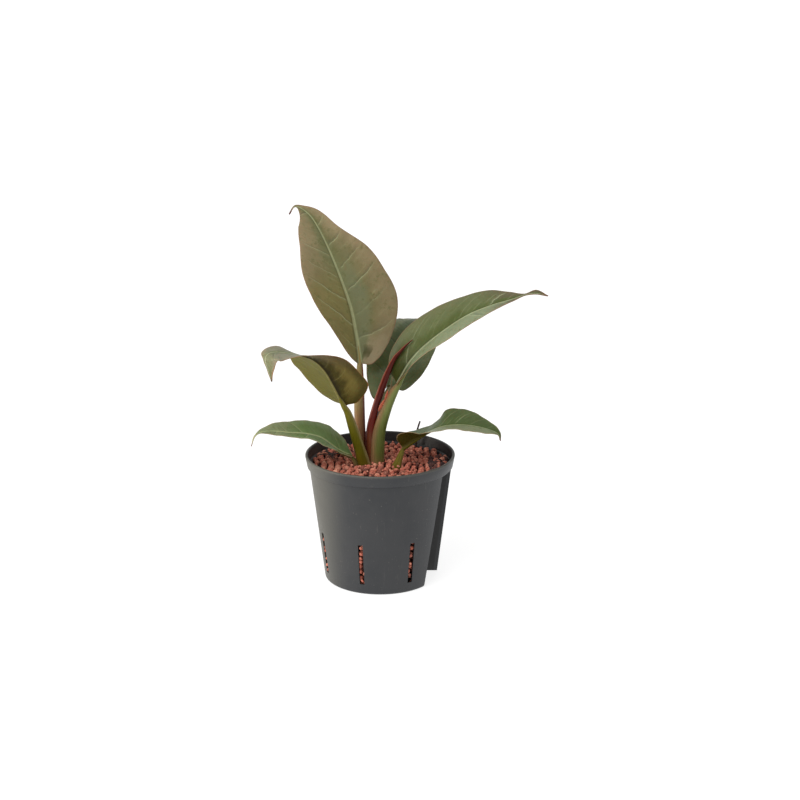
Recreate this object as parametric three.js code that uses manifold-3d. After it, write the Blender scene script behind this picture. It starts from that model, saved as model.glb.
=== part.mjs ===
// A young imperial red philodendron in a grey hydroculture pot, filled with broken clay granules.
// Millimetres, +Z up. The origin is the centre of the pot's flat underside, -Y is the front of the plant.
import * as THREE from "three";
import { mergeVertices } from "three/addons/utils/BufferGeometryUtils.js";
import Module from "manifold-3d";

const wasm = await Module();
wasm.setup();

// Driving dimensions

const GAP = 0.3; // clearance between neighbouring pieces

const POT = {
  height: 113,
  baseRadius: 48.9,
  slope: 0.123, // the wall's radius grows by this for each millimetre of height
  wall: 1.8,
  floor: 2.4,
  floorRound: 2.2,
  baseRound: 2.6,
  facets: 60,
};

// The rim band: the wall steps out into it, and it ends in a rolled lip.
const RIM = { step: 102.5, stepOut: 1.8, radius: 65, lip: 2.4 };

// The recess for a water gauge, on the pot's right side. Its side walls run along X at two places on Y, its
// back leans with the pot's wall, a roof closes it just under the rim, and the far side wall ends in a rib.
const CHANNEL = {
  near: -30, far: 9, depth: 12, top: 101, roofTop: 102.6, wall: 1.6, reachOut: 8, ribOut: 2.1,
};

// Upright drainage slots, at angles from the front towards +X.
const SLOT = { width: 4.3, low: 9.5, high: 47, from: 40, to: 70, first: 31, step: 48.8, count: 6 };

// The filling: a core with broken granules sunk into its top, on a grid that is shaken a little.
const BED = { level: 99.4, coreDrop: 1, edgeGap: 2.7, granule: 6.8, spacing: 9.4, jitter: 1.3, seed: 21 };

// The short stem: [radius, height] pairs from the rooted plug's foot to the top, ridged up to a height.
const CROWN = {
  x: -8,
  y: 3,
  outline: [[6, 58], [8.5, 64], [10, 78], [11, 88], [12, 97], [10.6, 101], [7, 103.4]],
  top: 104,
  ridges: 9,
  ridgeDepth: 0.05,
  ridgeTop: 96,
  facets: 27,
};

const BLADE = {
  middle: 0.9,
  margin: 0.7,
  ribDepth: 2.2,
  rows: 21,
  bunching: 0.35, // how much closer the rows stand at the base and the tip
  columns: [-1, -0.75, -0.5, -0.25, -0.07, 0, 0.07, 0.25, 0.5, 0.75, 1],
};

const COLOURS = {
  pot: 0x494c4e, clay: 0xa2604e, crown: 0x6b4a38, tall: 0x6c6a4f, left: 0x7b7434, right: 0x66704f,
  back: 0x3f4a37, low: 0x4f6b42, stalkBrown: 0x80624b, stalkOlive: 0x66652a, stalkGreen: 0x62743f,
  spear: 0x5d2426, sheath: 0xa5563a, dry: 0x3d2a20,
};

// The leaves. A row is a station along the midrib: its point, the upper face's normal, and then for
// the left and the right half how far the margin sweeps back, the half's width and its fold in degrees.

const LEAVES = {
  leaf_tall: {
    colour: COLOURS.tall,
    curl: [-12, -14],
    rows: [
      [[-17, 14, 189], [0.12, -0.95, 0.28], [0, 1.5, 20], [0, 1.5, 0]],
      [[-18, 16, 198.5], [0.12, -0.95, 0.28], [2, 9.5, 35], [10, 11.5, 5]],
      [[-20.5, 19, 214.5], [0.12, -0.95, 0.28], [2, 18.5, 35], [8, 29, 8]],
      [[-25, 24, 236.5], [0.12, -0.95, 0.28], [0, 29.5, 32], [2, 41, 10]],
      [[-32, 30, 256.5], [0.12, -0.93, 0.3], [0, 33, 28], [0, 38, 12]],
      [[-40, 36, 276], [0.12, -0.92, 0.32], [0, 31.5, 24], [0, 31.5, 14]],
      [[-49.5, 42, 296], [0.1, -0.9, 0.34], [0, 23, 20], [0, 16.5, 20]],
      [[-59, 46, 311.5], [0.08, -0.9, 0.34], [0, 15, 20], [0, 9, 25]],
      [[-68, 48, 319], [0.05, -0.9, 0.34], [2, 5.4, 20], [0, 2.8, 25]],
      [[-73.5, 48, 320.5], [0, -0.9, 0.34], [1.5, 1, 20], [0, 0.9, 25]],
      [[-78, 44, 314.5], [-0.1, -0.9, 0.3], [0, 0.5, 20], [0, 0.5, 20]],
    ],
  },
  leaf_left: {
    colour: COLOURS.left,
    curl: [0, -10],
    rows: [
      [[-29.5, -14, 160.5], [0.45, 0.75, 0.49], [0, 1.5, 10], [0, 1.5, 20]],
      [[-33.5, -17, 168.5], [0.45, 0.75, 0.49], [7, 14.5, 7.5], [6, 15, 15]],
      [[-39.5, -21, 182], [0.45, 0.75, 0.49], [6, 33, 6], [4, 30.5, 15]],
      [[-46, -26, 195], [0.42, 0.7, 0.55], [5.2, 29.8, 9.8], [0, 39.5, 15]],
      [[-54.5, -32, 205.5], [0.28, 0.5, 0.75], [0, 28, 4], [0, 37, 14]],
      [[-64.5, -37.5, 211], [0.1, 0.15, 0.95], [0, 18.5, 8.5], [-3, 21, -3]],
      [[-84, -42, 215], [-0.1, -0.3, 0.95], [5, 15, 3], [-3, 9.5, 2]],
      [[-89.5, -44, 215], [-0.2, -0.45, 0.87], [3, 18, 8], [-2, 8, -4]],
      [[-93, -46, 213.5], [-0.35, -0.65, 0.65], [-4, 15, 11], [-1, 7.5, -10]],
      [[-94.5, -47.5, 209.5], [-0.45, -0.8, 0.35], [-5, 10.5, 10], [0, 3.5, -20]],
      [[-92.5, -48, 201.5], [-0.5, -0.85, 0.1], [-4, 4, -1], [0, 1.5, -20]],
      [[-89.5, -46.5, 190.5], [-0.5, -0.85, 0], [0, 0.5, 0], [0, 0.5, 0]],
    ],
  },
  leaf_right: {
    colour: COLOURS.right,
    curl: [-10, -8],
    rows: [
      [[14.5, -4, 176.5], [-0.5, -0.3, 0.8], [0, 1.5, 30], [0, 1.5, 30]],
      [[18.5, -5, 183.5], [-0.5, -0.3, 0.8], [4, 12.5, 42], [6, 4, 25]],
      [[26, -6, 197], [-0.5, -0.3, 0.8], [3, 22.5, 36], [6, 8, 15]],
      [[37.5, -8, 210.5], [-0.45, -0.3, 0.84], [0, 28.5, 28], [2, 14.5, 12]],
      [[56.5, -11, 227], [-0.38, -0.3, 0.84], [0, 27.5, 22], [0, 20, 10]],
      [[75, -14, 240], [-0.3, -0.3, 0.84], [0, 23, 18], [0, 18.5, 10]],
      [[94.5, -17, 249], [-0.25, -0.3, 0.84], [0, 19, 14], [0, 11.5, 10]],
      [[111, -19, 254.5], [-0.2, -0.3, 0.84], [0, 10, 10], [0, 4, 10]],
      [[121.5, -20, 258.5], [-0.1, -0.3, 0.84], [0, 1.5, 10], [0, 1.5, 10]],
      [[131, -21, 260], [0, -0.3, 0.84], [0, 4, 20], [0, 3, 20]],
      [[141, -22, 258], [0, -0.3, 0.84], [0, 0.5, 10], [0, 0.5, 10]],
    ],
  },
  leaf_back: {
    colour: COLOURS.back,
    curl: [-6, -6],
    rows: [
      [[9, 22, 167.5], [-0.1, -0.85, 0.45], [0, 1.5, 10], [0, 1.5, 10]],
      [[10.5, 25, 174.5], [-0.1, -0.85, 0.45], [22, 11.5, 8], [10, 13, 10]],
      [[13, 31, 182.5], [-0.1, -0.85, 0.5], [15, 21.5, 8], [5, 25, 10]],
      [[17.5, 45, 195], [-0.1, -0.8, 0.55], [5, 27, 6], [1, 31, 10]],
      [[21.5, 60, 204.5], [-0.05, -0.65, 0.75], [0, 23, 3], [0, 31, 8]],
      [[27.5, 76, 209], [0, -0.4, 0.9], [0, 17.5, 2], [0, 26, 0]],
      [[33.5, 92, 209], [0.05, -0.1, 0.95], [0, 13, 0], [0, 17, 0]],
      [[39, 106, 206], [0.1, 0.2, 0.95], [0, 6, 0], [0, 7, 0]],
      [[45, 119, 199.5], [0.1, 0.4, 0.9], [0, 0.5, 0], [0, 0.5, 0]],
    ],
  },
  leaf_low_left: {
    colour: COLOURS.low,
    curl: [0, -10],
    rows: [
      [[-24, -4, 111.5], [0.3, -0.35, 0.88], [0, 1.5, 10], [0, 1.5, 20]],
      [[-33.5, -9, 117.5], [0.3, -0.35, 0.88], [2, 3, 10], [2, 14.5, 25]],
      [[-40.5, -14, 124.5], [0.25, -0.35, 0.88], [0, 6.5, 5], [0, 17.5, 22]],
      [[-50, -20, 133.5], [0.2, -0.35, 0.9], [0, 10, 0], [0, 16, 20]],
      [[-62.5, -26, 139], [0.05, -0.35, 0.92], [0, 7.5, 0], [0, 14.5, 18]],
      [[-76, -31, 141.5], [-0.05, -0.35, 0.92], [0, 5, -20], [0, 12.5, 18]],
      [[-89, -35, 144], [-0.15, -0.35, 0.92], [0, 4, -25], [0, 9, 15]],
      [[-100, -38, 144], [-0.4, -0.35, 0.85], [0, 2.5, 0], [0, 4, 10]],
      [[-105.5, -39, 140.5], [-0.7, -0.35, 0.6], [0, 1.2, 0], [0, 1.2, 0]],
      [[-108.5, -40, 132], [-0.9, -0.35, 0.3], [0, 0.5, 0], [0, 0.5, 0]],
    ],
  },
  leaf_low_right: {
    colour: COLOURS.low,
    curl: [0, 0],
    rows: [
      [[19.5, -8, 120.5], [-0.4, 0.05, 0.9], [0, 1.5, 10], [0, 1.5, 60]],
      [[24, -8, 123.5], [-0.4, 0.05, 0.9], [5.5, 12, 34], [4, 13.5, 56]],
      [[30, -8, 128], [-0.4, 0, 0.9], [4, 18, 17], [4.5, 17, 54]],
      [[37.5, -8, 133], [-0.3, -0.2, 0.9], [0, 20, -15], [0, 17.5, 34]],
      [[48, -9.5, 138.5], [-0.18, -0.33, 0.9], [0, 18.5, -15], [0, 19, 30]],
      [[56, -11, 141], [-0.08, -0.35, 0.9], [0, 21, 2], [0, 18, 27]],
      [[67, -12.5, 142.5], [0.05, -0.35, 0.9], [0, 20, 7], [0, 16.5, 25]],
      [[80, -14, 142], [0.15, -0.35, 0.9], [0, 16, 7], [0, 14, 16]],
      [[93, -16, 139.5], [0.3, -0.35, 0.9], [0, 9.5, 6], [0, 8, 9]],
      [[101.5, -17, 135.5], [0.5, -0.35, 0.75], [0, 3.5, 15], [0, 2.5, 10]],
      [[103.5, -17.5, 129.5], [0.7, -0.35, 0.5], [0, 0.5, 10], [0, 0.5, 10]],
    ],
  },
};

// The stalks: centre line points with the radius at each, from the crown up. Flat is how much the side
// that faces the crown is flattened. A stalk leaves room for those named in `beside`, and one that
// carries a leaf ends square to that blade's base.

const STALKS = {
  spear: {
    colour: COLOURS.spear,
    ringsPerSpan: 2,
    flat: 0,
    beside: [],
    line: [
      [-7, 2, 101, 6.2], [-7.4, 1.5, 118, 5.6], [-7.5, 1, 135.5, 4.4], [-3, 0, 156.5, 3.4],
      [3.5, 0, 177, 3], [7.5, 0, 187.5, 2.5], [12.5, 0, 198, 1.9], [17.5, 0, 204, 1.4],
      [22.5, 0, 209.5, 0.9], [28, 0, 214.5, 0.4],
    ],
  },
  petiole_right: {
    colour: COLOURS.stalkGreen,
    blade: "leaf_right",
    flat: 0.2,
    beside: ["spear"],
    line: [
      [-3, -0.5, 101, 6.5], [-2.5, -0.8, 117, 6.3], [-0.7, -1, 134, 5.8], [5.6, -2, 155, 4.9],
      [11.8, -2.9, 169, 3.8], [16, -3.4, 178, 2.6],
    ],
  },
  petiole_back: {
    colour: COLOURS.stalkOlive,
    blade: "leaf_back",
    flat: 0.2,
    beside: ["spear", "petiole_right"],
    line: [
      [-4.5, 9.5, 101, 5], [-3.8, 10.5, 122, 4.6], [-1, 12.5, 140, 4.4], [3.7, 17.2, 156, 3.2],
      [9.5, 23.8, 169, 2.3],
    ],
  },
  petiole_left: {
    colour: COLOURS.stalkOlive,
    blade: "leaf_left",
    flat: 0.25,
    beside: ["spear"],
    line: [
      [-12.5, -3.6, 101, 5.6], [-17, -5, 117, 5.1], [-23, -9, 138.5, 4.4], [-27.2, -12.4, 153, 3.3],
      [-30.5, -15.4, 162, 2.6],
    ],
  },
  petiole_tall: {
    colour: COLOURS.stalkBrown,
    blade: "leaf_tall",
    flat: 0.2,
    beside: ["petiole_left", "spear"],
    line: [
      [-16.5, 9, 101, 4.9], [-17.2, 11, 130.5, 5], [-17.7, 12, 153, 4.9], [-17.5, 13.4, 170.5, 4.1],
      [-17.3, 15.4, 191, 2.7],
    ],
  },
  petiole_low_left: {
    colour: COLOURS.stalkGreen,
    blade: "leaf_low_left",
    flat: 0.1,
    beside: ["petiole_left"],
    line: [[-19.5, -1, 96, 2.8], [-21, -2, 104, 2.5], [-25.5, -4.2, 112, 1.6]],
  },
  petiole_low_right: {
    colour: COLOURS.stalkOlive,
    blade: "leaf_low_right",
    flat: 0.1,
    beside: [],
    line: [[12.5, -10, 94, 4.2], [14, -10, 103.5, 4.1], [16.6, -9.5, 110.5, 3], [20.6, -8, 121.5, 1.7]],
  },
  sheath: {
    colour: COLOURS.sheath,
    flat: 0.75,
    beside: ["spear", "petiole_right", "petiole_back"],
    line: [[-1.2, -4.8, 151, 1.2], [1.8, -4.8, 158.5, 1.7], [4.6, -4.8, 164, 1.6], [7.2, -4.6, 171, 0.8]],
  },
  dry_stalk: {
    colour: COLOURS.dry,
    flat: 0,
    beside: [],
    line: [[30, 47, 95, 1], [31.5, 46.5, 106, 1], [32.6, 46, 118.5, 0.9], [35.1, 46, 127.5, 0.6]],
  },
};

// Dry root strands that lie on the granules at the left: the knot where they meet, how far their ends
// dip, and each one's heading in degrees, its reach either way, its bow and the height of its hump.
const STRANDS = {
  knot: [-43, 15, 106.8],
  knotRadius: 1.5,
  radius: 0.65,
  sides: 5,
  dip: 0.6,
  runs: [[15, 11, 3, 0.8], [62, 9, -3, 1.6], [105, 12, 2, 0.4], [148, 10, -4, 2.2]],
};

// Solids and meshes

/** A manifold solid of a closed geometry, with its faces turned outwards. */
function solid(geometry) {
  const bare = new THREE.BufferGeometry().setAttribute("position", geometry.getAttribute("position"));
  if (geometry.index) bare.setIndex(geometry.index);
  const merged = mergeVertices(bare, 1e-4);
  const points = merged.getAttribute("position").array;
  const corners = merged.index.array;
  const triangles = [];
  let volume = 0;
  const [a, b, c] = [new THREE.Vector3(), new THREE.Vector3(), new THREE.Vector3()];
  for (let i = 0; i < corners.length; i += 3) {
    const [p, q, r] = [corners[i], corners[i + 1], corners[i + 2]];
    if (p === q || q === r || r === p) continue;
    triangles.push([p, q, r]);
    volume += a.fromArray(points, 3 * p).dot(b.fromArray(points, 3 * q).cross(c.fromArray(points, 3 * r)));
  }
  const outward = volume > 0 ? triangles : triangles.map(([p, q, r]) => [p, r, q]);
  return new wasm.Manifold(new wasm.Mesh({
    numProp: 3, vertProperties: new Float32Array(points), triVerts: new Uint32Array(outward.flat()),
  }));
}

/** The largest separate body of a solid: a scrap that a cut leaves is dropped. */
function largest(body) {
  return body.decompose().reduce((best, one) => (one.volume() > best.volume() ? one : best));
}

/** A named mesh of a manifold solid. */
function mesh(name, body, colour, roughness) {
  const cut = body.getMesh();
  const geometry = new THREE.BufferGeometry();
  geometry.setAttribute("position", new THREE.BufferAttribute(new Float32Array(cut.vertProperties), 3));
  geometry.setIndex(new THREE.BufferAttribute(new Uint32Array(cut.triVerts), 1));
  geometry.computeVertexNormals();
  const finish = new THREE.MeshStandardMaterial({ color: colour, roughness, metalness: 0 });
  const made = new THREE.Mesh(geometry, finish);
  made.name = name;
  return made;
}

/** A closed lathe solid about the Z axis, from [radius, height] pairs that start and end on the axis. */
function turned(profile, facets) {
  const points = profile.map(([radius, height]) => new THREE.Vector2(radius, height));
  return new THREE.LatheGeometry(points, facets).rotateX(Math.PI / 2);
}

/** A closed prism between two outlines with as many corners, each a list of [x, y], at two heights. */
function prism(lowOutline, low, highOutline, high) {
  const count = lowOutline.length;
  const points = [...lowOutline.map(([x, y]) => [x, y, low]), ...highOutline.map(([x, y]) => [x, y, high])];
  const corners = [];
  for (let i = 0; i < count; i += 1) {
    const next = (i + 1) % count;
    corners.push(i, next, count + next, i, count + next, count + i);
    if (i > 0 && i < count - 1) corners.push(0, i + 1, i, count, count + i, count + i + 1);
  }
  const geometry = new THREE.BufferGeometry();
  geometry.setAttribute("position", new THREE.Float32BufferAttribute(points.flat(), 3));
  return geometry.setIndex(corners);
}

// A smooth curve through rows of numbers

/** Interpolates rows of numbers at knots, with the slope at each taken from its neighbours. */
class Track {
  constructor(rows, knots) {
    this.rows = rows;
    this.knots = knots;
  }

  slope(i, k) {
    const [a, b] = [Math.max(i - 1, 0), Math.min(i + 1, this.rows.length - 1)];
    return (this.rows[b][k] - this.rows[a][k]) / (this.knots[b] - this.knots[a]);
  }

  at(t) {
    let i = 0;
    while (i < this.knots.length - 2 && t >= this.knots[i + 1]) i += 1;
    const span = this.knots[i + 1] - this.knots[i];
    const s = (t - this.knots[i]) / span;
    const [s2, s3] = [s * s, s * s * s];
    return this.rows[i].map((value, k) => (2 * s3 - 3 * s2 + 1) * value
      + (s3 - 2 * s2 + s) * span * this.slope(i, k)
      + (3 * s2 - 2 * s3) * this.rows[i + 1][k] + (s3 - s2) * span * this.slope(i + 1, k));
  }
}

/** The running length at each of a list of points. */
function runningLength(points) {
  const lengths = [0];
  for (let i = 1; i < points.length; i += 1) {
    lengths.push(lengths[i - 1] + Math.hypot(...points[i].map((value, k) => value - points[i - 1][k])));
  }
  return lengths;
}

/** The value at x of a line through the pairs of two lists. */
function lookUp(x, xs, ys) {
  let i = 0;
  while (i < xs.length - 2 && x > xs[i + 1]) i += 1;
  return ys[i] + ((ys[i + 1] - ys[i]) * (x - xs[i])) / (xs[i + 1] - xs[i]);
}

// A leaf blade

const MIDRIB_SAMPLES = 400;
const ARC_STEPS = 12;
const SWEEP_POWER = 1.4; // how late in the half's width the margin's sweep back sets in

class Blade {
  constructor({ rows, curl }) {
    const flat = rows.map((row) => row.flat());
    const chord = runningLength(flat.map((row) => row.slice(0, 3)));
    const knots = chord.map((length) => length / chord[chord.length - 1]);
    this.track = new Track(flat, knots);
    this.curl = curl.map(THREE.MathUtils.degToRad);
    this.times = Array.from({ length: MIDRIB_SAMPLES + 1 }, (_, i) => i / MIDRIB_SAMPLES);
    this.arc = runningLength(this.times.map((t) => this.track.at(t).slice(0, 3)));
    this.length = this.arc[MIDRIB_SAMPLES];
  }

  /** The track's numbers at a running length along the midrib. */
  station(s) {
    return this.track.at(lookUp(THREE.MathUtils.clamp(s, 0, this.length), this.arc, this.times));
  }

  /** The midrib point, upper normal and right-hand side at a running length, also behind the base. */
  frame(s) {
    const point = (at) => new THREE.Vector3(...this.station(at).slice(0, 3));
    const along = point(Math.min(s + 1, this.length)).sub(point(Math.max(s - 1, 0)));
    if (s < -1) along.copy(point(1).sub(point(0)));
    along.normalize();
    const normal = new THREE.Vector3(...this.station(s).slice(3, 6));
    normal.addScaledVector(along, -normal.dot(along)).normalize();
    const base = point(s).addScaledVector(along, Math.min(s, 0));
    return { base, normal, side: along.clone().cross(normal) };
  }

  /** A point of the upper face: u from 0 at the base to 1 at the tip, v from -1 left to 1 right. */
  point(u, v) {
    const half = v < 0 ? 0 : 1;
    const [sweep, width, fold] = this.station(u * this.length).slice(6 + 3 * half, 9 + 3 * half);
    const reach = Math.abs(v);
    const { base, normal, side } = this.frame(u * this.length - sweep * reach ** SWEEP_POWER);
    let [across, up] = [0, 0];
    for (let k = 0; k < ARC_STEPS; k += 1) {
      const angle = THREE.MathUtils.degToRad(fold) + (this.curl[half] * reach * (k + 0.5)) / ARC_STEPS;
      across += (Math.cos(angle) * Math.max(width, GAP) * reach) / ARC_STEPS;
      up += (Math.sin(angle) * Math.max(width, GAP) * reach) / ARC_STEPS;
    }
    return base.addScaledVector(side, v < 0 ? -across : across).addScaledVector(normal, up);
  }

  /** The upper face's normal at u and v. */
  normal(u, v) {
    const [du, dv] = [0.004, 0.03];
    const alongU = this.point(Math.min(u + du, 1), v).sub(this.point(Math.max(u - du, 0), v));
    const alongV = this.point(u, Math.min(v + dv, 1)).sub(this.point(u, Math.max(v - dv, -1)));
    return alongV.cross(alongU).normalize();
  }

  /** How thick the blade is at u and v: thin at the margin, with a round rib under the middle. */
  thickness(u, v) {
    const rib = BLADE.ribDepth * (1 - u) ** 1.5 * (v === 0 ? 1 : 0);
    return BLADE.middle + (BLADE.margin - BLADE.middle) * Math.abs(v) + rib;
  }

  /** The blade as one closed grid, with the same triangles on both faces. */
  geometry() {
    const { columns } = BLADE;
    const upper = [];
    const lower = [];
    for (let i = 0; i < BLADE.rows; i += 1) {
      const even = i / (BLADE.rows - 1);
      const u = even - (BLADE.bunching * Math.sin(2 * Math.PI * even)) / (2 * Math.PI);
      for (const v of columns) {
        const top = this.point(u, v);
        upper.push(top);
        lower.push(top.clone().addScaledVector(this.normal(u, v), -this.thickness(u, v)));
      }
    }
    const across = columns.length;
    const count = upper.length;
    const corners = [];
    for (let i = 0; i < BLADE.rows - 1; i += 1) {
      for (let j = 0; j < across - 1; j += 1) {
        const [a, b] = [i * across + j, i * across + j + 1];
        const [c, d] = [b + across, a + across];
        corners.push(a, b, c, a, c, d, count + a, count + c, count + b, count + a, count + d, count + c);
      }
    }
    const rim = [];
    for (let j = 0; j < across - 1; j += 1) rim.push(j);
    for (let i = 0; i < BLADE.rows - 1; i += 1) rim.push(i * across + across - 1);
    for (let j = across - 1; j > 0; j -= 1) rim.push((BLADE.rows - 1) * across + j);
    for (let i = BLADE.rows - 1; i > 0; i -= 1) rim.push(i * across);
    rim.forEach((a, i) => {
      const b = rim[(i + 1) % rim.length];
      corners.push(b, a, count + a, b, count + a, count + b);
    });
    const geometry = new THREE.BufferGeometry();
    const places = [...upper, ...lower].flatMap((p) => p.toArray());
    geometry.setAttribute("position", new THREE.Float32BufferAttribute(places, 3));
    return geometry.setIndex(corners);
  }
}

// Stalks

const STALK_SIDES = 11;
const RINGS_PER_SPAN = 3;
const LOOK_AHEAD = 0.05; // of a span, to find the way that the line runs

/** A closed tapering stalk along a line of [x, y, z, radius], grown outwards by a margin. */
function stalk({ line, flat, ringsPerSpan = RINGS_PER_SPAN }, margin = 0, sides = STALK_SIDES) {
  const track = new Track(line, line.map((_, i) => i));
  const rings = (line.length - 1) * ringsPerSpan;
  const places = [];
  for (let i = 0; i <= rings; i += 1) {
    const t = (i / rings) * (line.length - 1);
    const [x, y, z, radius] = track.at(t);
    const ahead = track.at(Math.min(t + LOOK_AHEAD, line.length - 1));
    const behind = track.at(Math.max(t - LOOK_AHEAD, 0));
    const along = new THREE.Vector3(...[0, 1, 2].map((k) => ahead[k] - behind[k])).normalize();
    const towards = new THREE.Vector3(CROWN.x - line[0][0], CROWN.y - line[0][1], 0);
    towards.addScaledVector(along, -towards.dot(along)).normalize();
    const side = along.clone().cross(towards);
    for (let j = 0; j < sides; j += 1) {
      const angle = (2 * Math.PI * j) / sides;
      const depth = Math.cos(angle) > 0 ? Math.cos(angle) * (1 - flat) : Math.cos(angle);
      const place = new THREE.Vector3(x, y, z);
      place.addScaledVector(towards, (radius + margin) * depth + margin * Math.cos(angle) * flat);
      places.push(place.addScaledVector(side, (radius + margin) * Math.sin(angle)));
    }
  }
  const corners = [];
  for (let i = 0; i < rings; i += 1) {
    for (let j = 0; j < sides; j += 1) {
      const [a, b] = [i * sides + j, i * sides + ((j + 1) % sides)];
      corners.push(a, b, b + sides, a, b + sides, a + sides);
    }
  }
  for (let j = 1; j < sides - 1; j += 1) {
    corners.push(0, j + 1, j, rings * sides, rings * sides + j, rings * sides + j + 1);
  }
  const geometry = new THREE.BufferGeometry();
  const numbers = places.flatMap((place) => place.toArray());
  geometry.setAttribute("position", new THREE.Float32BufferAttribute(numbers, 3));
  return solid(geometry.setIndex(corners));
}

// The pot

/** The pot wall's outer radius at a height. */
function wallRadius(z) {
  return POT.baseRadius + POT.slope * z;
}

/** A point at a radius and an azimuth in degrees. */
function polar(radius, azimuth) {
  const angle = THREE.MathUtils.degToRad(azimuth);
  return [radius * Math.cos(angle), radius * Math.sin(angle)];
}

/** The recess's plan at a height, grown by a margin and reaching out past the wall. */
function channelPlan(z, margin, outward) {
  const inside = wallRadius(z) - CHANNEL.depth - margin;
  const outside = wallRadius(z) + outward;
  const [near, far] = [CHANNEL.near - margin, CHANNEL.far + margin];
  return [[inside, near], [outside, near], [outside, far], [inside, far]];
}

/** The recess as a prism between two heights. */
function channelPrism(low, high, margin, outward) {
  return solid(prism(channelPlan(low, margin, outward), low, channelPlan(high, margin, outward), high));
}

/** The cavity's profile from its floor up to the rim step, kept clear of the wall by a margin. */
function cavityProfile(margin) {
  const { floor, floorRound, wall } = POT;
  const foot = floor + floorRound;
  const radius = (z) => wallRadius(z) - wall - margin;
  return [
    [0, floor + margin], [radius(foot) - floorRound, floor + margin], [radius(foot), foot],
    [radius(RIM.step), RIM.step],
  ];
}

/** Points on an arc from one angle to another, in degrees from +X towards +Z, in equal steps. */
function arc([x, z], radius, from, to, steps) {
  return Array.from({ length: steps + 1 }, (_, i) => {
    const [dx, dz] = polar(radius, from + ((to - from) * i) / steps);
    return [x + dx, z + dz];
  });
}

/** The rounded edge of the pot's underside, from the underside up. */
function baseEdge() {
  const { baseRadius, baseRound } = POT;
  return arc([baseRadius - baseRound, baseRound], baseRound, -90, 0, 3);
}

/** The recess's side walls, its back and its roof, with the rib along the far side wall. */
function buildPanels() {
  const { far, top, roofTop, wall, reachOut, ribOut } = CHANNEL;
  const body = (edge, out) => solid(turned([
    [0, 0], ...edge, [wallRadius(roofTop) + out, roofTop], [0, roofTop],
  ], POT.facets));
  const block = channelPrism(0, roofTop, wall, ribOut);
  const rib = block.intersect(body([[wallRadius(0) + ribOut, 0]], ribOut)).trimByPlane([0, 1, 0], far);
  return block.intersect(body(baseEdge(), 0)).add(rib).subtract(channelPrism(-1, top, 0, reachOut));
}

function buildPot() {
  const { height, wall, facets } = POT;
  const { step, stepOut, radius, lip } = RIM;
  const profile = [
    [0, 0], ...baseEdge(),
    [wallRadius(step - 1), step - 1], [wallRadius(step) + stepOut, step],
    ...arc([radius - lip / 2, height - lip / 2], lip / 2, 0, 180, 4),
    [wallRadius(step), step + wall], ...cavityProfile(0).reverse(),
  ];
  let pot = solid(turned(profile, facets));
  pot = pot.subtract(channelPrism(-1, CHANNEL.top, 0, CHANNEL.reachOut)).add(buildPanels());
  for (let i = 0; i < SLOT.count; i += 1) {
    const half = SLOT.width / 2;
    const plan = (near, far) => [[-half, -near], [half, -near], [half, -far], [-half, -far]];
    const cut = prism(plan(SLOT.from, SLOT.to), SLOT.low, plan(SLOT.from, SLOT.to), SLOT.high);
    cut.rotateZ(THREE.MathUtils.degToRad(SLOT.first - SLOT.step * i));
    pot = pot.subtract(solid(cut));
  }
  return largest(pot);
}

// The clay granules

/** A seeded source of numbers from 0 to 1. */
function seeded(seed) {
  let state = seed;
  return () => {
    state = (state * 1664525 + 1013904223) % 4294967296;
    return state / 4294967296;
  };
}

/** The bed's level at x and y, a little uneven. */
function bedLevel(x, y) {
  return BED.level + 0.9 * Math.sin(x / 17 + 1) * Math.cos(y / 14) + 0.5 * Math.sin((x - y) / 9);
}

function buildGranules(holes) {
  const cavity = cavityProfile(GAP);
  const edge = cavity[3][0];
  const coreTop = BED.level - BED.coreDrop;
  const core = turned([...cavity.slice(0, 3), [edge - GAP, coreTop], [0, coreTop]], POT.facets);
  const random = seeded(BED.seed);
  const between = (low, high) => low + (high - low) * random();
  const jitter = () => between(-BED.jitter, BED.jitter);
  const step = BED.spacing * Math.sin(Math.PI / 3);
  const granules = [];
  for (let row = -Math.ceil(edge / step); row <= edge / step; row += 1) {
    const shift = row % 2 ? BED.spacing / 2 : 0;
    for (let across = -edge; across <= edge; across += BED.spacing) {
      const [x, y] = [across + shift + jitter(), row * step + jitter()];
      if (Math.hypot(x, y) > edge - BED.edgeGap) continue;
      const lump = new THREE.OctahedronGeometry(BED.granule, 0);
      lump.scale(between(0.9, 1.15), between(0.9, 1.15), between(0.8, 1));
      lump.rotateX(between(0, Math.PI)).rotateY(between(0, Math.PI)).rotateZ(between(0, 2 * Math.PI));
      granules.push(solid(lump.translate(x, y, bedLevel(x, y) + between(0, 0.8))));
    }
  }
  let bed = wasm.Manifold.union([solid(core), ...granules]);
  bed = bed.intersect(solid(turned([...cavity, [edge, POT.height], [0, POT.height]], POT.facets)));
  bed = bed.subtract(channelPrism(-1, CHANNEL.roofTop + GAP, CHANNEL.wall + GAP, CHANNEL.reachOut));
  for (const hole of holes) bed = bed.subtract(hole);
  return largest(bed);
}

// The crown: a short stem with its rooted plug below, grown outwards by a margin

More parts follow.
